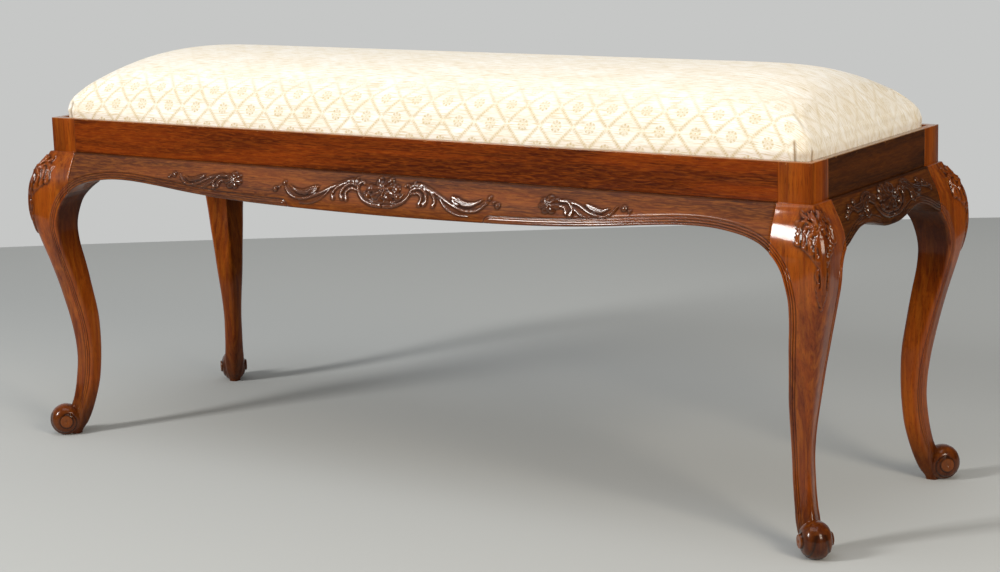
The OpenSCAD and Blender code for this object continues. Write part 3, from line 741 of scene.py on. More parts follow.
def apron(node, half_l, edge_shares, carving, carved, turn, shift, material):
    """One carved apron. Carved is a list of stretches, from and to, along half of it."""
    fine = [np.arange(a, b, FINE_MM) for a, b in carved]
    edges = [0.0] + [e for pair in carved for e in pair] + [half_l]
    plain = [np.linspace(a, b, max(2, int((b - a) / PLAIN_MM)))
             for a, b in zip(edges[::2], edges[1::2]) if b > a]
    half = np.unique(np.round(np.concatenate(fine + plain + [[half_l - 0.6]]), 3))
    x = np.concatenate([-half[::-1], half[half > 0]])
    share = np.abs(x) / half_l
    flare = ease((np.abs(x) - half_l + FLARE_L) / FLARE_L) ** 1.2
    low = leg_h - APRON_DROP * along(edge_shares, share)
    top = leg_h - LEDGE_ROUND
    up = np.linspace(0, 1, ROWS_UP + 1)[1:, None]
    first = low + EDGE_STEPS[-1]
    over = np.sin(np.linspace(0, np.pi / 2, LEDGE_STEPS)[1:, None])
    z = np.vstack([low + EDGE_STEPS[:, None], first + up * (top - first),
                   np.repeat(leg_h - LEDGE_ROUND * (1 - over), len(x), 1)])
    swell = np.sin(np.pi / 2 * np.clip((leg_h - z) / SWELL_DEPTH, 0, 1)) ** 1.2
    out = mix(LEDGE + APRON_SWELL * swell, flank(z), flare) - ledge_round(z)
    edge = np.clip(1 - (z - low) / EDGE_ROUND, 0, 1)
    out -= EDGE_ROUND * (1 - np.sqrt(1 - edge**2)) + JOINT_LINE * (np.abs(x) > half_l - 0.1)
    face = np.stack([np.broadcast_to(x, z.shape), -out, z], -1)

    e = edge_distance(half_l, edge_shares, np.abs(face[..., 0]) - half_l, z)
    inner_deep = 0.3 + 0.7 * ease((share - REEDS_FROM) / REEDS_OVER)
    height = np.zeros(z.shape)
    carving(height, face[..., 0], z - MOTIF_Z)
    lines = reeds(e, 1.0, np.broadcast_to(inner_deep, z.shape))
    hollow, worn, relief = shade_and_relief(height, lines, WAX_AND_SHADE)
    # A line of painted shade runs along the top of the face, under the rail.
    hollow = np.maximum(hollow, WAX_AND_SHADE * ease((z - leg_h + 2 * LEDGE_ROUND) / LEDGE_ROUND))
    rubbed = np.maximum(standing(height), 0.6 * ease((REED_ZONE - e) / 2))
    face += grid_normals(face) * relief[..., None]

    flush = np.zeros(len(x))
    rear = np.stack([np.stack([x, flush + APRON_T, flush + leg_h], -1),
                     np.stack([x, flush + APRON_T, low + BACK_STEP], -1),
                     np.stack([x, flush + APRON_T - BACK_STEP, low], -1)])
    rings = np.concatenate([face, rear]).transpose(1, 0, 2)
    count = rings.shape[1]
    cos, sin = math.cos(turn), math.sin(turn)
    points = rings.reshape(-1, 3) @ np.array([[cos, sin, 0], [-sin, cos, 0], [0, 0, 1]]) + shift
    faces = grid_faces(len(x), count, closed=True)
    faces += [list(range(count))[::-1], list(range((len(x) - 1) * count, len(x) * count))]
    plain_back = np.zeros((len(rear), len(x)))
    made = make_object("carved_" + node, points, faces, material,
                       hollow=np.vstack([hollow, plain_back]).T, worn=np.vstack([worn, plain_back]).T,
                       rubbed=np.vstack([rubbed, plain_back]).T)
    turn_outward(made.data)
    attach(made, "frame")
    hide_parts(node)
    return made


print("points up a section of an apron:", len(EDGE_STEPS) + ROWS_UP + LEDGE_STEPS + 2)

# %% Four aprons
LONG_CARVED = [(0.0, 180.0), (224.0, 360.0)]
SHORT_CARVED = [(0.0, 124.0)]
long_board = long_l, long_edge_shares, long_carving, LONG_CARVED
end_board = short_l, end_edge_shares, end_carving, SHORT_CARVED
apron("apron_front", *long_board, 0, (0, -half_d, 0), apron_x)
made = apron("apron_back", *long_board, math.pi, (0, half_d, 0), apron_x)
apron("apron_right", *end_board, math.pi / 2, (half_w, 0, 0), apron_y)
apron("apron_left", *end_board, -math.pi / 2, (-half_w, 0, 0), apron_y)
print("faces in a long apron:", len(made.data.polygons))

# %% [markdown]
# ## Cabriole legs
# A cabriole leg is sawn from one square blank and rounded by hand: it swells into a knee, draws in
# to a slim ankle and ends in a scroll. Its section is a square whose corners are rounded more or
# less, so the skin is built from sections, one above the other. The leg is drawn once, for one
# corner of the frame, with p and q running outwards from the two faces of its stile.

# %% Knee carving
ACANTHUS = [
    ([(7, 27), (14, 23), (21, 28), (26, 38), (29.5, 50)], 6.4, 3.2, "strap", 0.35),
    ([(7, 32), (13, 30), (18, 36), (21, 45), (21.5, 54)], 5.8, 3.0, "strap", 0.35),
    ([(6, 38), (11, 40), (14, 48), (13, 60)], 5.8, 3.2, "strap", 0.35),
    ([(3, 42), (6, 50), (7, 59), (5.5, 67)], 5.0, 3.0, "strap", 0.35),
    ([(9, 20), (15, 16), (17, 10)], 6.0, 2.6, "leaf", 0.3),
    ([(5, 76), (7, 84), (5.5, 93)], 4.0, 1.9, "leaf", 0.2),
    ([(4.5, 92), (6.5, 99), (4, 106)], 3.6, 1.7, "leaf", 0.2),
    ([(1, 22), (6, 17), (8, 11)], 7.0, 3.4, "leaf", 0.3),
    ([(2, 22), (4, 16), (2.5, 9)], 6.6, 3.4, "leaf", 0.3),
]
SPINE = [
    ([(0, 40), (0, 60), (0, 84), (0, 104)], 10.5, 2.9, "stem", 0.3),
    ([(0, 96), (0.6, 108), (0, 122)], 11.5, 2.5, "leaf", 0.4),
]
SHIELD_RISE = 0.9
KNEE_EYE = (0.6, 31.5)


def knee_carving(height, u, s):
    """Acanthus on the knee. u runs across from the nose of the knee, s down it from the ledge."""
    # The ground under the leaves is left a little proud, wide above and narrow below.
    shield = 28 - 24 * ease((s - 46) / 34)
    height[(np.abs(u) < shield) & (s > 24) & (s < 82)] = SHIELD_RISE
    strokes(height, u, s, ACANTHUS)
    strokes(height, u, s, SPINE, sides=(1,))
    petals(height, u, s, (0, 31), (12, 12.5), 7, 3.6, 0.35)
    petals(height, u, s, KNEE_EYE, (7, 7.5), 5, 4.8, 1.1)
    for k in range(4):
        seed = (KNEE_EYE[0] + 1.6 * math.cos(1.6 * k), KNEE_EYE[1] + 1.6 * math.sin(1.6 * k))
        bud(height, u, s, seed, 1.7, 4.2)
    bud(height, u, s, (0, 124), 2.2, 1.7)


print("strokes on a knee:", 2 * len(ACANTHUS) + len(SPINE))

# %% Leg section helpers
FACE_STEPS = 44
INNER_STEPS = 9
CORNER_STEPS, NOSE_STEPS = 9, 17
CARVED_DOWN = 262.0
ROW_FINE, ROW_PLAIN = 1.1, 3.2
# Painted shade on the inner faces of the legs under the seat: its strength, and the heights where it begins
# and is full.
INNER_SHADE = 0.75
SHADE_LOW, SHADE_HIGH = 225.0, 330.0
INNER_DULL = 0.6
NARROW_ROW = 30.0
REEDS_FULL = 90.0
CORNER_LATE, LATE_BELOW, LATE_OVER = 8.0, 60.0, 50.0


def arc(before, at, after, reach, t):
    """Part of a rounded corner for every row. The points have shape (rows, 2)."""
    def step(other):
        """The point at reach from the corner, on the way to another one."""
        v = other - at
        return at + reach[:, None] * v / np.maximum(np.linalg.norm(v, axis=1, keepdims=True), 1e-9)
    a, b = step(before)[:, None], step(after)[:, None]
    t = t[None, :, None]
    return (1 - t) ** 2 * a + 2 * t * (1 - t) * at[:, None] + t**2 * b


def resampled(line, wanted):
    """Walks each row's line and drops points at the wanted distances. Line has shape (rows, n, 2)."""
    step = np.linalg.norm(np.diff(line, axis=1), axis=-1)
    run = np.concatenate([np.zeros((len(line), 1)), np.cumsum(step, axis=1)], 1)
    rows = [[np.interp(w, r, part[:, k]) for k in (0, 1)]
            for w, r, part in zip(wanted(run[:, -1]), run, line)]
    return np.array(rows).transpose(0, 2, 1)


def distances(total):
    """Distances from the edge along each row: close together at first, then even."""
    share = np.linspace(0, 1, FACE_STEPS + 1)[1:]
    near = EDGE_STEPS[None] * np.minimum(1, total / NARROW_ROW)[:, None]
    return np.concatenate([near, near[:, -1:] + share * (total[:, None] - near[:, -1:])], 1)


def up_to(rows, z):
    """Adds the height of each row as a third coordinate to rows of flat points."""
    return np.concatenate([rows, np.broadcast_to(z[:, None, None], rows.shape[:2] + (1,))], -1)


print("points across an outer face:", len(EDGE_STEPS) + FACE_STEPS)

# %% Outline of every section
z = np.concatenate([leg_h - LEDGE_ROUND * (1 - np.cos(np.linspace(0, np.pi / 2, LEDGE_STEPS))),
                    np.arange(leg_h - LEDGE_ROUND - ROW_FINE, CARVED_DOWN, -ROW_FINE),
                    np.arange(CARVED_DOWN, ROW_PLAIN / 2, -ROW_PLAIN), [0.0]])
rounding = ledge_round(z)
a = -STILE * np.minimum(1, along(inner_shares, z / leg_h))
# The corner that looks into the frame is cut back a little higher up, behind the apron's edge.
late = CORNER_LATE * ease((z - joint_share * leg_h + LATE_BELOW) / LATE_OVER)
back_a = -STILE * np.minimum(1, along(inner_shares, (z - late) / leg_h))
b = knee(z) - rounding
f = flank(z) - rounding
soft = LEG_ROUND * along(soft_shares, z / leg_h)
nose = LEG_ROUND * along(nose_shares, z / leg_h)
o, s1, i, s2 = (np.stack(pair, -1) for pair in ((b, b), (a, f), (back_a, back_a), (f, a)))
half_arc = np.linspace(0.5, 0, CORNER_STEPS)
half_nose = np.linspace(1, 0.5, NOSE_STEPS)
outer = np.concatenate([arc(o, s1, i, soft, half_arc), arc(s2, o, s1, nose, half_nose)], 1)
inner = np.concatenate([arc(o, s1, i, soft, 1 - half_arc), arc(s1, i, s2, soft, half_arc[::-1])], 1)
run = np.linalg.norm(np.diff(outer, axis=1), axis=-1).sum(1)
wanted = distances(run)
outer = resampled(outer, distances)
inner = resampled(inner, lambda total: total[:, None] * np.linspace(0, 1, INNER_STEPS))
print("mm round the outer faces, on top and at most:", round(2 * float(run[0])), round(2 * float(run.max())))

# %% Outer faces with their carving
# They run from one side edge over the nose of the knee to the other side edge.
face = up_to(np.concatenate([outer, outer[:, ::-1, ::-1][:, 1:]], 1), z)
u = run[:, None] - wanted
u = np.concatenate([u, -u[:, ::-1][:, 1:]], 1)
middle = face.shape[1] // 2
s = np.concatenate([[0], np.cumsum(np.linalg.norm(np.diff(face[:, middle], axis=0), axis=1))])
height = np.zeros(face.shape[:2])
knee_carving(height, u, np.broadcast_to(s[:, None], u.shape).copy())
w = np.concatenate([wanted, wanted[:, ::-1][:, 1:]], 1) + (a + STILE)[:, None]
e = np.concatenate([edge_distance(half_l, shares, w[:, part], face[:, part, 2]) for half_l, shares, part in
                    ((long_l, long_edge_shares, slice(0, middle + 1)),
                     (short_l, end_edge_shares, slice(middle + 1, None)))], 1)
deep = np.broadcast_to((ease(z / REEDS_FULL) * 0.9)[:, None], e.shape)
lines = np.where(e < EDGE_STEPS[-1], reeds(e, deep, deep), 0)
hollow, worn, relief = shade_and_relief(height, lines, WAX_AND_SHADE / 2)
outward = grid_normals(face)
outward *= np.sign(outward[..., :2].sum(-1, keepdims=True))
face += outward * relief[..., None]
print("carving on the knee stands up to", round(float(height.max()), 1), "mm")

# %% Skin of the leg
# The inner faces close the ring behind, through the corner that looks into the frame.
behind = up_to(np.concatenate([inner[:, 1:, ::-1], inner[:, ::-1][:, 1:-1]], 1), z)
rings = np.concatenate([face, behind], 1)
# The faces that look into the frame are hardly polished, and are painted dark near the top: painted shade
# from the seat and aprons above them.
painted_seat_shade = INNER_SHADE * ease((z - SHADE_LOW) / (SHADE_HIGH - SHADE_LOW))
painted_seat_shade = np.broadcast_to(painted_seat_shade[:, None], behind.shape[:2])
dull = np.full(behind.shape[:2], INNER_DULL)
rows, count = rings.shape[:2]
faces = grid_faces(rows, count, closed=True)
faces += [list(range(count)), list(range((rows - 1) * count, rows * count))[::-1]]
leg_skin = make_object("leg_skin", rings.reshape(-1, 3), faces, wood_z,
                       hollow=np.concatenate([hollow, painted_seat_shade], 1), worn=np.concatenate([worn, 0 * dull], 1),
                       dull=np.concatenate([0 * hollow, dull], 1))
print("leg sections:", rows, "of", count, "points")

# %% [markdown]
# The foot is a scroll like a snail's shell: a drum with domed cheeks, and on each cheek a groove
# that winds in to a raised eye. It lies across the diagonal of the leg and is cut flat below. A
# boolean union joins it and the square stile to the leg, as they are one piece of wood.

# %% Scroll foot
SCROLL_R = 22.5
SCROLL_W = 34.0
SCROLL_OUT = SCROLL_R * 0.38
DOME = SCROLL_W * 0.42
FOOT_FLAT = 1.5
EYE_R = 8.5
EYE_PROUD = 3.0
GROOVE_FROM, GROOVE_RUN = 1.2, 2.7 * np.pi
GROOVE_DEEP, GROOVE_PITCH = 1.3, 2.1
FLAT_STEPS, DOME_STEPS, TURN_STEPS = 24, 30, 144


def both_cheeks(one, other):
    """Joins the grids of two cheeks at the rim, without their middles, which a hub closes."""
    return np.concatenate([one[:, 1:], other[:, :0:-1][:, 1:]], 1)


over = np.linspace(0, np.pi / 2, DOME_STEPS)[1:]
radius = np.concatenate([np.linspace(0, SCROLL_R - DOME, FLAT_STEPS), SCROLL_R - DOME + DOME * np.sin(over)])
lift = np.concatenate([np.full(FLAT_STEPS, SCROLL_W / 2), SCROLL_W / 2 * np.cos(over)])
R, T = np.meshgrid(radius, np.linspace(0, 2 * np.pi, TURN_STEPS + 1)[:-1])
W = np.broadcast_to(lift, R.shape).copy()
W += EYE_PROUD * ease((EYE_R + 0.8 - R) / 1.6) - 1.0 * np.exp(-((R / 2.0) ** 2))
# The groove winds once and a third, from the neck at the back to the eye. The groove and the foot of the eye
# get painted shade.
painted_groove_shade = np.exp(-(((R - EYE_R - 0.8) / 1.2) ** 2))
for lap in (0, 1):
    wind = (T + 2 * np.pi * lap - GROOVE_FROM) % (4 * np.pi)
    groove_r = EYE_R + 1.2 + GROOVE_PITCH * wind
    cut = (groove_r < SCROLL_R - 1) & (wind < GROOVE_RUN)
    groove = np.where(cut, np.exp(-((R - groove_r) ** 2)), 0)
    W -= GROOVE_DEEP * groove
    painted_groove_shade = np.maximum(painted_groove_shade, groove)
painted_groove_shade = 0.8 * both_cheeks(painted_groove_shade, painted_groove_shade)
# The eye stands highest and is painted lightest: wear, and a painted highlight.
eye_wear_and_highlight = 0.28 * ease((EYE_R + 0.4 - R) / 0.8)
eye_wear_and_highlight = both_cheeks(eye_wear_and_highlight, eye_wear_and_highlight)
U = SCROLL_OUT + R * np.cos(T)
Z = np.maximum(SCROLL_R - FOOT_FLAT + R * np.sin(T), 0)
one, other = (np.stack([(U - V) / math.sqrt(2), (U + V) / math.sqrt(2), Z], -1) for V in (W, -W))
whole = both_cheeks(one, other)
rows, count = whole.shape[:2]
points = whole.reshape(-1, 3)
hubs = [one[0, 0], other[0, 0]]
wrapped = np.concatenate([np.arange(rows * count), np.arange(count)])
faces = [[wrapped[k] for k in face] for face in grid_faces(rows + 1, count)]
faces += [[rows * count, k * count, (k + 1) % rows * count] for k in range(rows)]
faces += [[rows * count + 1, (k + 1) % rows * count + count - 1, k * count + count - 1] for k in range(rows)]
scroll = make_object("scroll", np.vstack([points, hubs]), faces, wood_z)
for part in (leg_skin, scroll):
    print(part.name, "volume in cm3 and open edges:", *turn_outward(part.data))

# %% Square stile
RIM_WIDTH = 10.0
SANDED = 0.7 * MM
m, n = -STILE, -RIM_WIDTH
square = [(m, m), (0, m), (0, 0), (m, 0)]
around = [(m, 0), (0, 0), (0, m), (n, m), (n, n), (m, n)]
prism = [(p, q, h) for h in (leg_h - 1, seat_z) for p, q in square]
prism += [(m, n, seat_z), (n, n, seat_z), (n, m, seat_z)] + [(p, q, frame_h) for p, q in around]
stile_faces = [(3, 2, 1, 0), (4, 10, 9, 8), (0, 1, 5, 10, 4), (0, 4, 8, 7, 3), (1, 2, 12, 13, 5),
               (2, 3, 7, 11, 12), (5, 13, 14, 10), (10, 14, 15, 9), (9, 15, 16, 8), (8, 16, 11, 7),
               (11, 16, 15, 14, 13, 12)]
stile = make_object("stile", prism, stile_faces, wood_z, smooth=False)
turn_outward(stile.data)
bm = bmesh.new()
bm.from_mesh(stile.data)
sharp = [edge for edge in bm.edges
         if edge.calc_face_angle(0) > 1 and max(v.co.z for v in edge.verts) > leg_h * MM]
bmesh.ops.bevel(bm, geom=sharp, offset=SANDED, segments=2, profile=0.6, affect="EDGES")
bm.to_mesh(stile.data)
bm.free()
print("faces in the stile:", len(stile.data.polygons))

# %% The leg in one piece
SAME_POINT = 0.01 * MM
for part in (scroll, stile):
    union = leg_skin.modifiers.new("union", "BOOLEAN")
    union.operation = "UNION"
    union.object = part
    union.solver = "EXACT"
joined = leg_skin.evaluated_get(bpy.context.evaluated_depsgraph_get())
leg_mesh = bpy.data.meshes.new_from_object(joined)
# The union loses the scroll's painted shade, its wear and its painted highlight, so each of its points is
# given them again.
spots = KDTree(len(points))
for k, point in enumerate(points):
    spots.insert(point * MM, k)
spots.balance()
for vertex in leg_mesh.vertices:
    k, away = spots.find(vertex.co)[1:]
    if away < SAME_POINT:
        leg_mesh.attributes["hollow"].data[vertex.index].value = painted_groove_shade.flat[k]
        leg_mesh.attributes["worn"].data[vertex.index].value = eye_wear_and_highlight.flat[k]
for part in (scroll, stile, leg_skin):
    bpy.data.objects.remove(part)
print("faces in a leg:", len(leg_mesh.polygons), "attributes", [a.name for a in leg_mesh.attributes])

# %% Four legs
for end, side_x in (("left", -1), ("right", 1)):
    for front, side_y in (("front", -1), ("back", 1)):
        node = f"leg_{front}_{end}"
        mesh = leg_mesh.copy()
        mesh.transform(Matrix.Translation((side_x * half_w * MM, side_y * half_d * MM, 0))
                       @ Matrix.Diagonal((side_x, side_y, 1, 1)))
        if side_x * side_y < 0:
            mesh.flip_normals()
        mesh.shade_smooth()
        mesh.set_sharp_from_angle(angle=math.radians(40))
        made = add_object("carved_" + node, mesh)
        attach(made, "frame")
        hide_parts(node)
print("legs stand at", round(half_w), round(half_d))

# %% [markdown]
# ## Rails, blocks and the seat frame
# The plain boards are already right in the frame. They need a finish, and the soft edges that
# sandpaper leaves, because an edge that is sharp to nothing never catches a light. A bevel
# modifier rounds them and leaves the board itself as it is.

# %% Boards that stay
board_wood = {"top_rail_front": wood_x, "top_rail_back": wood_x, "top_rail_left": wood_y,
              "top_rail_right": wood_y, "seat_rail_front": beech_x, "seat_rail_back": beech_x}
for name in ("seat_rail_left", "seat_rail_right", "seat_stretcher_left", "seat_stretcher_right"):
    board_wood[name] = beech_y
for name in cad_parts:
    if name.startswith("corner_block"):
        board_wood[name] = brass if name.endswith("screws") else beech_x
for name, material in board_wood.items():
    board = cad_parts[name]
    for slot in board.material_slots:
        slot.link = "OBJECT"
        slot.material = material
    if not board.material_slots:
        board.data.materials.append(material)
    if material is not brass:
        # The frame's meshes are split along every edge. They are sewn up and their flat faces
        # joined before the bevel, or it finds no edges to round.
        weld = board.modifiers.new("sewn_up", "WELD")
        weld.merge_threshold = SAME_POINT
        flat = board.modifiers.new("flat_faces", "DECIMATE")
        flat.decimate_type = "DISSOLVE"
        flat.angle_limit = math.radians(1)
        bevel = board.modifiers.new("sanded_edges", "BEVEL")
        bevel.width = SANDED
        bevel.segments = 2
        bevel.limit_method = "ANGLE"
        bevel.angle_limit = math.radians(50)
        bevel.harden_normals = True
print("boards:", len(board_wood))

# %% [markdown]
# ## Cushion
# A drop-in seat is a pad of hair under cotton wadding. The cover is drawn over it, down the sides
# and under the frame, and folded at each corner. It is steep at the rim, domed above, and pulled
# in a little between the corners. The top is laid out as one grid of threads along and across, so
# the cloth knows its own length in mm everywhere. A cloth simulation then blows it up slightly
# against its pinned lower edge, which gives it the tight, uneven swell of a stuffed pad.

# %% Cushion shape helpers
CROWN_H = 86.5
EDGE_H = 26.0
SWELL_CAP = 3.0
CROWN_END = 220.0
DRAW_IN = 3.0
CORNER_R = 22.0
COVER_T = 1.5
HEM_Z = seat_z + 2
PAD_Z = corners_mm("hessian")[1][2] + 0.4
PLEAT_L = 12.0
CORNER_CELLS, CELL_MM = 17, 8.0
# How far the steep edge stands out at a share of its height, in rim widths, and at its top.
BULGE = [(0, 0), (0.35, 0.2), (0.7, 0.08)]
TOP_STAND = -0.25


def dome(t, steep, round_share):
    """From 0 to 1, steep at first and level at the end."""
    return (1 - (1 - np.clip(t, 0, 1)) ** steep) ** round_share


def pile(x, y):
    """Height of the crown over the steep edge, before the pad swells."""
    rise = CROWN_H - EDGE_H - SWELL_CAP
    end_rise = dome((seat_x - np.abs(x)) / CROWN_END, 4.5, 0.75)
    return rise * end_rise * dome((seat_y - np.abs(y)) / seat_y, 2.2, 0.6)


def in_corner(place, half):
    """From 0 where the rounding of a corner begins to 1 at the end of the side."""
    return np.clip((np.abs(place) - half + CORNER_R) / CORNER_R, 0, 1)


def plan(x, y, grow):
    """Takes a rectangular grid to a rounded rectangle that is larger by the given amount."""
    a, b = in_corner(x, seat_x), in_corner(y, seat_y)
    px = np.minimum(np.abs(x), seat_x - CORNER_R) + a * np.sqrt(1 - b**2 / 2) * (CORNER_R + grow)
    py = np.minimum(np.abs(y), seat_y - CORNER_R) + b * np.sqrt(1 - a**2 / 2) * (CORNER_R + grow)
    return np.sign(x) * px, np.sign(y) * py


def drawn(x, y, up):
    """Pulls the sides in between the corners, from nothing at the rim to DRAW_IN above."""
    u, v = x / seat_x, y / seat_y
    pull = DRAW_IN * np.sin(np.pi * np.clip(up, 0, 0.5))
    return (x - np.sign(u) * pull * (1 - v**4) * np.abs(u) ** 8,
            y - np.sign(v) * pull * (1 - u**4) * np.abs(v) ** 8)


def thread_places(half):
    """Places of the threads along a side: close together at the corner, wider in the middle."""
    fine = half - CORNER_R - PLEAT_L
    corner = np.linspace(fine, half, CORNER_CELLS + 1)
    middle = np.linspace(0, fine, int(fine / CELL_MM) + 1)[:-1]
    right = np.concatenate([middle, corner])
    return np.concatenate([-right[::-1], right[1:]])


print("steep edge", EDGE_H, "mm high, crown at", CROWN_H, "mm")

# %% Top sheet and rings
X, Y = np.meshgrid(thread_places(seat_x), thread_places(seat_y))
px, py = drawn(*plan(X, Y, COVER_T + RIM_WIDTH * TOP_STAND), 1.0)
top = np.stack([px, py, frame_h + EDGE_H + pile(X, Y)], -1)
ny, nx = top.shape[:2]
index = np.arange(nx * ny).reshape(ny, nx)
border = np.concatenate([index[0, :-1], index[:-1, -1], index[-1, :0:-1], index[:0:-1, 0]])
bx, by = X.ravel()[border], Y.ravel()[border]

# Rings below the top sheet, as height, how far they stand out, and the share up the steep edge.
rings = []
for share in (0.985, 0.95, 0.9, 0.83, 0.75, 0.66, 0.55, 0.44, 0.33, 0.22, 0.11, 0.0):
    past = np.clip((share - 0.7) / 0.3, 0, 1)
    stand = BULGE[-1][1] - (BULGE[-1][1] - TOP_STAND) * past**2
    if share < 0.7:
        stand = along(BULGE, share)
    rings.append((frame_h + EDGE_H * share, COVER_T + RIM_WIDTH * stand, share))
rings += [(mix(frame_h, HEM_Z, t), COVER_T, 0.0) for t in (0.33, 0.67, 1.0)]
rings += [(HEM_Z, 0.2, 0.0), (mix(HEM_Z, PAD_Z, 0.5), 0.2, 0.0), (PAD_Z, 0.2, 0.0)]
skirt = []
for ring_z, grow, share in rings:
    rx, ry = drawn(*plan(bx, by, float(grow)), share)
    skirt.append(np.stack([rx, ry, np.full(len(rx), float(ring_z))], -1))
skirt = np.array(skirt)
count = len(border)
points = np.vstack([top.reshape(-1, 3), skirt.reshape(-1, 3)])
faces = grid_faces(ny, nx)
start = nx * ny
below = np.vstack([border, start + np.arange(count * len(rings)).reshape(len(rings), count)])
ahead = np.roll(below, -1, axis=1)
faces += np.stack([below[:-1], below[1:], ahead[1:], ahead[:-1]], -1).reshape(-1, 4).tolist()
print("cushion:", nx, "by", ny, "threads, and", len(rings), "rings below")

# %% Lengths of cloth
# They are measured from the middle of the seat, along and across, in mm.
run_x = np.concatenate([np.zeros((ny, 1)), np.cumsum(np.linalg.norm(np.diff(top, axis=1), axis=-1), 1)], 1)
run_y = np.concatenate([np.zeros((1, nx)), np.cumsum(np.linalg.norm(np.diff(top, axis=0), axis=-1), 0)], 0)
cloth_u = run_x - run_x[:, nx // 2][:, None]
cloth_v = run_y - run_y[ny // 2][None]
walls = np.vstack([top.reshape(-1, 3)[border][None], skirt])
drop = np.cumsum(np.linalg.norm(np.diff(walls, axis=0), axis=-1), 0)
on_end = np.abs(bx) > seat_x - 0.01
heading = np.where(on_end, 1 - 0.5 * in_corner(by, seat_y), 0.5 * in_corner(bx, seat_x)) * np.pi / 2
skirt_u = cloth_u.ravel()[border] + drop * np.sin(heading) * np.sign(bx)
skirt_v = cloth_v.ravel()[border] + drop * np.cos(heading) * np.sign(by)
cloth = np.stack([np.concatenate([cloth_u.ravel(), skirt_u.ravel()]),
                  np.concatenate([cloth_v.ravel(), skirt_v.ravel()])], -1)
print("cloth", np.round(cloth.max(0) - cloth.min(0)), "mm")

# %% Cushion cloth
UV_UNIT = 1000.0
SWELL_STEPS = 16
SHOWN_RINGS = 12
shape = points.copy()
shown = start + count * SHOWN_RINGS
skin_faces = [face for face in faces if max(face) < shown]
skin = make_object("skin", points[:shown], skin_faces, jute)
pinned = skin.vertex_groups.new(name="pinned")
held = np.nonzero(points[:shown, 2] < frame_h + 0.5)[0]
pinned.add([int(k) for k in held], 1.0, "REPLACE")
cloth_mod = skin.modifiers.new("swell", "CLOTH")
settings = cloth_mod.settings
settings.quality = 4
settings.mass = 0.25
settings.tension_stiffness = settings.compression_stiffness = settings.shear_stiffness = 18
settings.bending_stiffness = 1.5
settings.use_pressure = True
settings.uniform_pressure_force = 4.0
settings.vertex_group_mass = "pinned"
settings.effector_weights.gravity = 0
cloth_mod.collision_settings.use_collision = False
cloth_mod.point_cache.frame_start, cloth_mod.point_cache.frame_end = 1, SWELL_STEPS
scene = bpy.context.scene
for step in range(1, SWELL_STEPS + 1):
    scene.frame_set(step)
blown = skin.evaluated_get(bpy.context.evaluated_depsgraph_get()).data
moved = np.empty(shown * 3)
blown.vertices.foreach_get("co", moved)
scene.frame_set(1)
bpy.data.objects.remove(skin)
move = moved.reshape(-1, 3) / MM - points[:shown]
length = np.linalg.norm(move, axis=1, keepdims=True)
print("swell, mean and most:", round(float(length.mean()), 2), round(float(length.max()), 2), "mm")
free = ease((points[:shown, 2:] - frame_h) / EDGE_H)
shape[:shown] += move * free * np.minimum(1, SWELL_CAP / np.maximum(length, 1e-9))
shape[:, 2] = np.minimum(shape[:, 2], frame_h + CROWN_H)
cushion = make_object("damask_cushion", points, faces, jute)
mesh = cushion.data
uv = mesh.uv_layers.new(name="cloth_mm")
loop_vertex = np.empty(len(mesh.loops), int)
mesh.loops.foreach_get("vertex_index", loop_vertex)
uv.data.foreach_set("uv", (cloth[loop_vertex] / UV_UNIT).ravel())

# %% [markdown]
# At each corner the spare cloth is laid in one pleat on the long side: a flat tab that ends in a
# sharp crease. It is pressed into the skin as a low step with a narrow groove at its edge.

# %% Corner pleats
TAB_FROM, TAB_TO = -8.0, 8.0
TAB_PROUD = 1.2
CREASE_MM = 1.2
CREASE_DEEP = 1.7
PLEATED_RINGS = 13
arc_middle = np.pi / 4 * CORNER_R
inset = np.where(on_end, seat_y - np.abs(by), seat_x - np.abs(bx))
walk = np.minimum(inset, CORNER_R) * arc_middle / CORNER_R + np.maximum(inset - CORNER_R, 0)
from_corner = np.where(on_end, walk, -walk)
tab = ease((from_corner - TAB_FROM) / CREASE_MM) * ease((TAB_TO - from_corner) / CREASE_MM)
far_crease, near_crease = (np.exp(-(((from_corner - place) / CREASE_MM) ** 2))
                           for place in (TAB_FROM - 1, TAB_TO + 1))
out_x, out_y = np.sin(heading) * np.sign(bx), np.cos(heading) * np.sign(by)
painted_crease_shade = np.zeros(len(shape))
for k, (_, _, share) in enumerate(rings[:PLEATED_RINGS]):
    fade = ease((0.95 - share) / 0.2)
    crease = fade * far_crease + ease((0.6 - share) / 0.3) * near_crease
    push = fade * TAB_PROUD * tab - CREASE_DEEP * crease
    part = slice(start + k * count, start + (k + 1) * count)
    shape[part, 0] += push * out_x
    shape[part, 1] += push * out_y
    painted_crease_shade[part] = crease
# The creases are also painted dark: painted shade in the fold.
mesh.attributes.new("painted_crease_shade", "FLOAT", "POINT").data.foreach_set("value", painted_crease_shade)
mesh.vertices.foreach_set("co", (shape * MM).ravel())
mesh.update()
smooth = cushion.modifiers.new("smooth", "SUBSURF")
smooth.levels = smooth.render_levels = 1
final = bpy.data.meshes.new_from_object(cushion.evaluated_get(bpy.context.evaluated_depsgraph_get()))
cushion.modifiers.clear()
cushion.data = final
# The flat underside is one face, added last, because smoothing a face of 400 corners takes minutes.
bm = bmesh.new()
bm.from_mesh(final)
bmesh.ops.holes_fill(bm, edges=[edge for edge in bm.edges if edge.is_boundary])
bm.to_mesh(final)
bm.free()
turn_outward(final)
final.shade_smooth()
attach(cushion, "seat")
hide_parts("seat_cover", "stuffing")
print("faces in the cushion:", len(final.polygons))

# %% [markdown]
# ## Damask
# The cover is an ivory damask of cotton and silk: a trellis of thin beige lines, drawn by ticks of
# weft, with a small flower head in each diamond. Thicker weft threads, slubs, run along it in
# short beige streaks. The pattern repeats every 47 mm along and 52 mm across. A real thread is
# 0.4 mm wide, so the weave is drawn three times as coarse to show. The trellis is drawn with two
# slanting coordinates, rising and falling, that each go up by one from line to line.

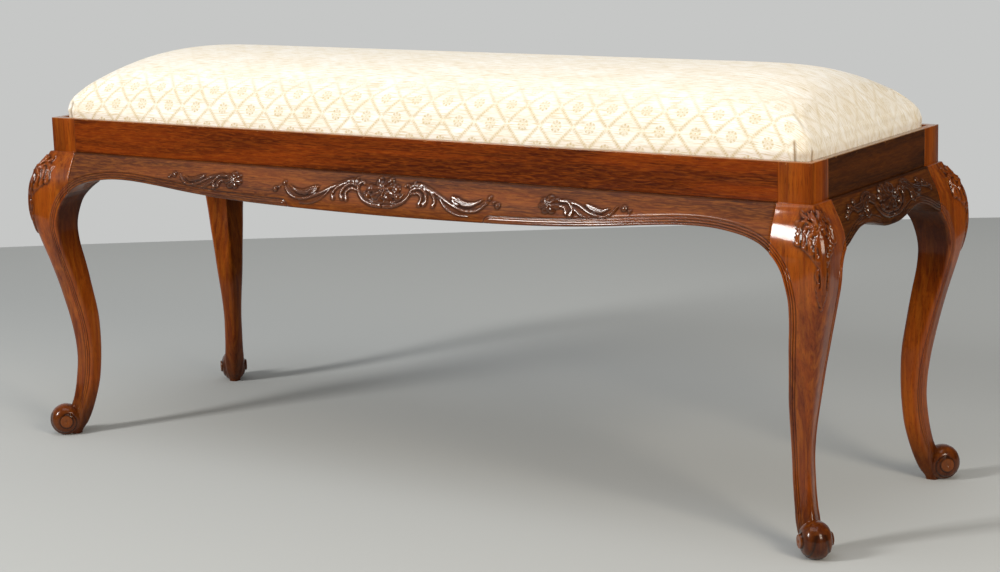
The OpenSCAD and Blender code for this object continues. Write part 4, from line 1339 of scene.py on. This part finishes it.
# %% Damask trellis
REPEAT_U = 47.0
REPEAT_V = 52.0
TICKS = 12
WEAVE_MM = 1.2
LINE_MM = 2.4
line_step = 1 / math.hypot(1 / REPEAT_U, 1 / REPEAT_V)
damask, add = empty_material("ivory_damask")
place = add("UVMap", uv_map="cloth_mm")
flat = add("Mapping", {"Vector": place, "Scale": [UV_UNIT] * 3})
u = add("SeparateXYZ", {0: flat}, out="X")
v = add("SeparateXYZ", {0: flat}, out="Y")
us = add("Math", {0: u, 1: REPEAT_U}, operation="DIVIDE")
vs = add("Math", {0: v, 1: REPEAT_V}, operation="DIVIDE")
rising = add("Math", {0: us, 1: vs}, operation="ADD")
falling = add("Math", {0: us, 1: vs}, operation="SUBTRACT")
lines = []
for way, other in ((rising, falling), (falling, rising)):
    away = add("Math", {0: way, 1: 0.5}, operation="PINGPONG")
    line = add("MapRange", {0: away, 1: 0.3 * LINE_MM / line_step, 2: 1.5 * LINE_MM / line_step,
                            3: 1.0, 4: 0.0})
    beat = add("Math", {0: other, 1: 2 * math.pi * TICKS}, operation="MULTIPLY")
    beat = add("Math", {0: beat}, operation="SINE")
    ticks = add("Math", {0: beat, 1: 0.2, 2: 0.8}, operation="MULTIPLY_ADD")
    # The lines stop short of each crossing, where a small dot stands.
    crossing = add("Math", {0: other, 1: 0.5}, operation="PINGPONG")
    gap = add("MapRange", {0: crossing, 1: 0.03, 2: 0.09, 3: 0.35, 4: 1.0})
    line = add("Math", {0: line, 1: ticks}, operation="MULTIPLY")
    lines.append(add("Math", {0: line, 1: gap}, operation="MULTIPLY"))
trellis = add("Math", {0: lines[0], 1: lines[1]}, operation="MAXIMUM")

# %% Damask flower heads
PETALS = 8
RIM_AT, RIM_HALF = 5.9, 1.5
RING_AT, RING_HALF = 3.0, 0.6
DISC_FULL, DISC_END = 5.6, 7.0
EYE_AT = 1.1
across = add("Math", {0: rising}, operation="FRACT")
down = add("Math", {0: falling}, operation="FRACT")
mid_u = add("Math", {0: across, 1: down}, operation="ADD")
mid_u = add("Math", {0: mid_u, 1: REPEAT_U / 2, 2: -REPEAT_U / 2}, operation="MULTIPLY_ADD")
mid_v = add("Math", {0: across, 1: down}, operation="SUBTRACT")
mid_v = add("Math", {0: mid_v, 1: REPEAT_V / 2}, operation="MULTIPLY")
centred = add("CombineXYZ", {0: mid_u, 1: mid_v})
away = add("VectorMath", {0: centred}, out="Value", operation="LENGTH")
angle = add("Math", {0: mid_v, 1: mid_u}, operation="ARCTAN2")
petal = add("Math", {0: angle, 1: PETALS}, operation="MULTIPLY")
petal = add("Math", {0: petal}, operation="COSINE")
petal = add("Math", {0: petal, 1: 0.35, 2: 0.65}, operation="MULTIPLY_ADD")
rim = add("Math", {0: away, 1: RIM_AT, 2: RIM_HALF}, operation="COMPARE")
rim = add("Math", {0: rim, 1: petal}, operation="MULTIPLY")
ring = add("Math", {0: away, 1: RING_AT, 2: RING_HALF}, operation="COMPARE")
ring = add("Math", {0: ring, 1: 0.6}, operation="MULTIPLY")
eye = add("Math", {0: away, 1: EYE_AT}, operation="LESS_THAN")
disc = add("MapRange", {0: away, 1: DISC_FULL, 2: DISC_END, 3: 0.42, 4: 0.0})
pattern = trellis
for part in (rim, ring, disc, eye):
    pattern = add("Math", {0: pattern, 1: part}, operation="MAXIMUM")
print("a flower head is", 2 * DISC_END, "mm across, and the lines lie", round(line_step, 1), "mm apart")

# %% Damask threads and finish
# Sizes in mm along the seat and across it.
THREAD = 4, 1.4
SLUB = 22, 1.3
CLOUD = 60, 22
WASHOUT_FROM, WASHOUT_TO = 42, 68
END_SHEEN_FROM, END_SHEEN_TO = 34, 10
threads, streaks, clouds = (add("Mapping", {"Vector": flat, "Scale": [1 / u_mm, 1 / v_mm, 1]})
                            for u_mm, v_mm in (THREAD, SLUB, CLOUD))
broken = add("TexNoise", {"Vector": threads, "Scale": 1.0, "Detail": 2.0})
broken = add("MapRange", {0: broken, 1: 0.36, 2: 0.6, 3: 0.5})
pattern = add("Math", {0: pattern, 1: broken}, operation="MULTIPLY")
slubs = add("TexNoise", {"Vector": streaks, "Scale": 1.0, "Detail": 3.0, "Distortion": 0.3})
slubs = add("MapRange", {0: slubs, 1: 0.49, 2: 0.72, 4: 0.85})
cloudy = add("TexNoise", {"Vector": clouds, "Scale": 1.0, "Detail": 3.0})
cloudy = add("MapRange", {0: cloudy, 1: 0.3, 2: 0.7})
ground = add("Mix", {0: cloudy, 6: colour("#efe8d9"), 7: colour("#f7f5ee")}, **COLOURS)
# The figure is painted fainter on the crown, a painted washout where the light falls full on the top. It
# stays clear round the edge.
place = add("TexCoord", out="Object")
height = add("SeparateXYZ", {0: place}, out="Z")
rubbed = add("MapRange", {0: height, 1: (frame_h + WASHOUT_FROM) * MM, 2: (frame_h + WASHOUT_TO) * MM,
                          3: 0.9, 4: 0.22})
inked = add("Math", {0: pattern, 1: rubbed}, operation="MULTIPLY")
# The figure is painted fainter at the ends too, a painted sheen where the light grazes them.
length = add("SeparateXYZ", {0: place}, out="X")
length = add("Math", {0: length}, operation="ABSOLUTE")
end_sheen_fade = add("MapRange", {0: length, 1: (seat_x - END_SHEEN_FROM) * MM, 2: (seat_x - END_SHEEN_TO) * MM,
                           3: 1.0, 4: 0.5})
inked = add("Math", {0: inked, 1: end_sheen_fade}, operation="MULTIPLY")
drawn_on = add("Math", {0: inked, 1: slubs}, operation="MAXIMUM")
dyed = add("Mix", {0: drawn_on, 6: ground, 7: colour("#c6b077")}, **COLOURS)
# Painted shade darkens the creases of the corner pleats.
crease_shade = add("Attribute", out="Fac", attribute_name="painted_crease_shade")
dyed = add("Mix", {0: crease_shade, 6: dyed, 7: colour("#8a6d42")}, **COLOURS)
warp, weft = (add("Math", {0: way, 1: 2 * math.pi / WEAVE_MM}, operation="MULTIPLY") for way in (u, v))
warp, weft = (add("Math", {0: wave}, operation="SINE") for wave in (warp, weft))
weave = add("Math", {0: warp, 1: weft}, operation="MULTIPLY")
relief = add("Math", {0: slubs, 1: 3.0, 2: weave}, operation="MULTIPLY_ADD")
relief = add("Math", {0: pattern, 1: 4.0, 2: relief}, operation="MULTIPLY_ADD")
bumped = add("Bump", {"Height": relief, "Strength": 0.4, "Distance": 0.08 * MM})
shader = add("BsdfPrincipled", {"Base Color": dyed, "Roughness": 0.78, "Specular IOR Level": 0.25,
                                "Sheen Weight": 0.15, "Sheen Roughness": 0.4, "Normal": bumped})
add("OutputMaterial", {"Surface": shader})
cushion.data.materials.clear()
cushion.data.materials.append(damask)
print("damask repeats every", REPEAT_U, "by", REPEAT_V, "mm")

# %% [markdown]
# ## Under the seat
# Jute webs are strained over the frame, woven over and under each other, and tacked down. Hessian
# lies on them and carries the stuffing. Black calico closes the underside. It is turned in at its
# edge and tacked, so it puckers between the tacks and sags a little in the middle. A cloth
# simulation would find these shapes too, but each is so nearly flat that a grid of points with
# worked-out heights is exact and quick.

# %% Webbing
WEB_W = 50.0
WEB_CELL = 5.0
WEAVE_UP = 1.1
cross_low, cross_high = corners_mm("webbing_cross")
long_low, long_high = corners_mm("webbing_long")
web_z = long_low[2]


def laid_sheet(name, x, y, z, material, node):
    """A sheet that lies nearly level. Its flat size is in mm."""
    made = make_object(name, np.stack([x, y, z], -1).reshape(-1, 3), grid_faces(*x.shape), material)
    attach(made, "seat")
    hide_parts(node)


def web_heights(places, crossings, signs):
    """Heights of a web that goes over, sign 1, or under, sign -1, at each crossing."""
    near = ease(1 - np.abs(places[:, None] - crossings) / WEB_W)
    return web_z + WEAVE_UP * (near * signs).sum(1)


cross_count = int((seat_x - WEB_W) // WEB_W)
cross_x = np.linspace(cross_low[0] + WEB_W / 2, cross_high[0] - WEB_W / 2, cross_count)
long_y = np.array([-1, 1]) * (long_high[1] - WEB_W / 2)
widths = np.linspace(-WEB_W / 2, WEB_W / 2, 5)
run_over = np.linspace(cross_low[1], cross_high[1], int((cross_high[1] - cross_low[1]) / WEB_CELL))
for k, centre in enumerate(cross_x):
    heights = web_heights(run_over, long_y, np.array([1, -1]) * (-1) ** k)
    x, y = np.meshgrid(centre + widths, run_over)
    z = np.repeat(heights[:, None], len(widths), 1)
    laid_sheet(f"web_cross_{k + 1}", x, y, z, jute, "webbing_cross")
run_along = np.linspace(long_low[0], long_high[0], int((long_high[0] - long_low[0]) / WEB_CELL))
for k, centre in enumerate(long_y):
    heights = web_heights(run_along, cross_x, (-1.0) ** (np.arange(cross_count) + k + 1))
    y, x = np.meshgrid(centre + widths, run_along)
    z = np.repeat(heights[:, None], len(widths), 1)
    laid_sheet(f"web_long_{k + 1}", x, y, z, jute, "webbing_long")
print("webs across:", cross_count, "and along:", len(long_y))

# %% Hessian and bottom cloth
HESSIAN_CELL = 12.0
SAG = 2.2
PUCKER = 0.5
SAG_IN, PUCKER_IN = 120.0, 18.0
TACK_PITCH = 38.0


def level_grid(low, high, cell):
    """Points a cell or a little more apart between two corners."""
    steps = [int((b - a) / cell) + 1 for a, b in zip(low[:2], high[:2])]
    return np.meshgrid(np.linspace(low[0], high[0], steps[0]), np.linspace(low[1], high[1], steps[1]))


low, high = corners_mm("hessian")
x, y = level_grid(low, high, HESSIAN_CELL)
z = mix(low[2], high[2], 0.5 + 0.3 * np.cos(np.pi * x / WEB_W) * np.cos(np.pi * y / WEB_W))
laid_sheet("hessian_sheet", x, y, z, sacking, "hessian")

low, high = corners_mm("bottom_cloth")
x, y = level_grid(low, high, TACK_PITCH / 8)
inset_x, inset_y = high[0] - np.abs(x), high[1] - np.abs(y)
edge_in = np.minimum(inset_x, inset_y)
beside = np.where(inset_x < inset_y, y, x)
pucker = PUCKER * np.exp(-edge_in / PUCKER_IN) * np.sin(np.pi * beside / TACK_PITCH) ** 2
sag = SAG * ease(inset_x / SAG_IN) * ease(inset_y / SAG_IN)
z = mix(low[2], high[2], 0.5) - sag - pucker
laid_sheet("bottom_cloth_sheet", x, y, z, calico, "bottom_cloth")

# %% Tacks
TACK_R = 4.2
TACK_H = 1.5
TACK_INSET = 7.0
TACK_SIDES = 12
row_x = np.arange(0, high[0] - TACK_INSET, TACK_PITCH)
row_y = np.arange(0, high[1] - TACK_INSET, TACK_PITCH)
tack_places = {(sx * px, sy * (high[1] - TACK_INSET)) for px in row_x for sx in (-1, 1) for sy in (-1, 1)}
tack_places |= {(sx * (high[0] - TACK_INSET), sy * py) for py in row_y for sx in (-1, 1) for sy in (-1, 1)}
round_tack = np.linspace(0, 2 * np.pi, TACK_SIDES, endpoint=False)
tack_points, tack_faces = [], []
for px, py in sorted(tack_places):
    first = len(tack_points)
    for tilt in (0, 30, 60):
        ring_r, drop_z = TACK_R * math.cos(math.radians(tilt)), TACK_H * math.sin(math.radians(tilt))
        tack_points += [(px + ring_r * math.cos(a), py + ring_r * math.sin(a), low[2] - drop_z)
                        for a in round_tack]
    tack_faces += grid_faces(3, TACK_SIDES, closed=True, first=first)
    tack_faces += [[first + k for k in range(TACK_SIDES)],
                   [first + 2 * TACK_SIDES + k for k in range(TACK_SIDES)][::-1]]
tacks = make_object("tack_heads", tack_points, tack_faces, brass)
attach(tacks, "seat")
print("tacks:", len(tack_places))
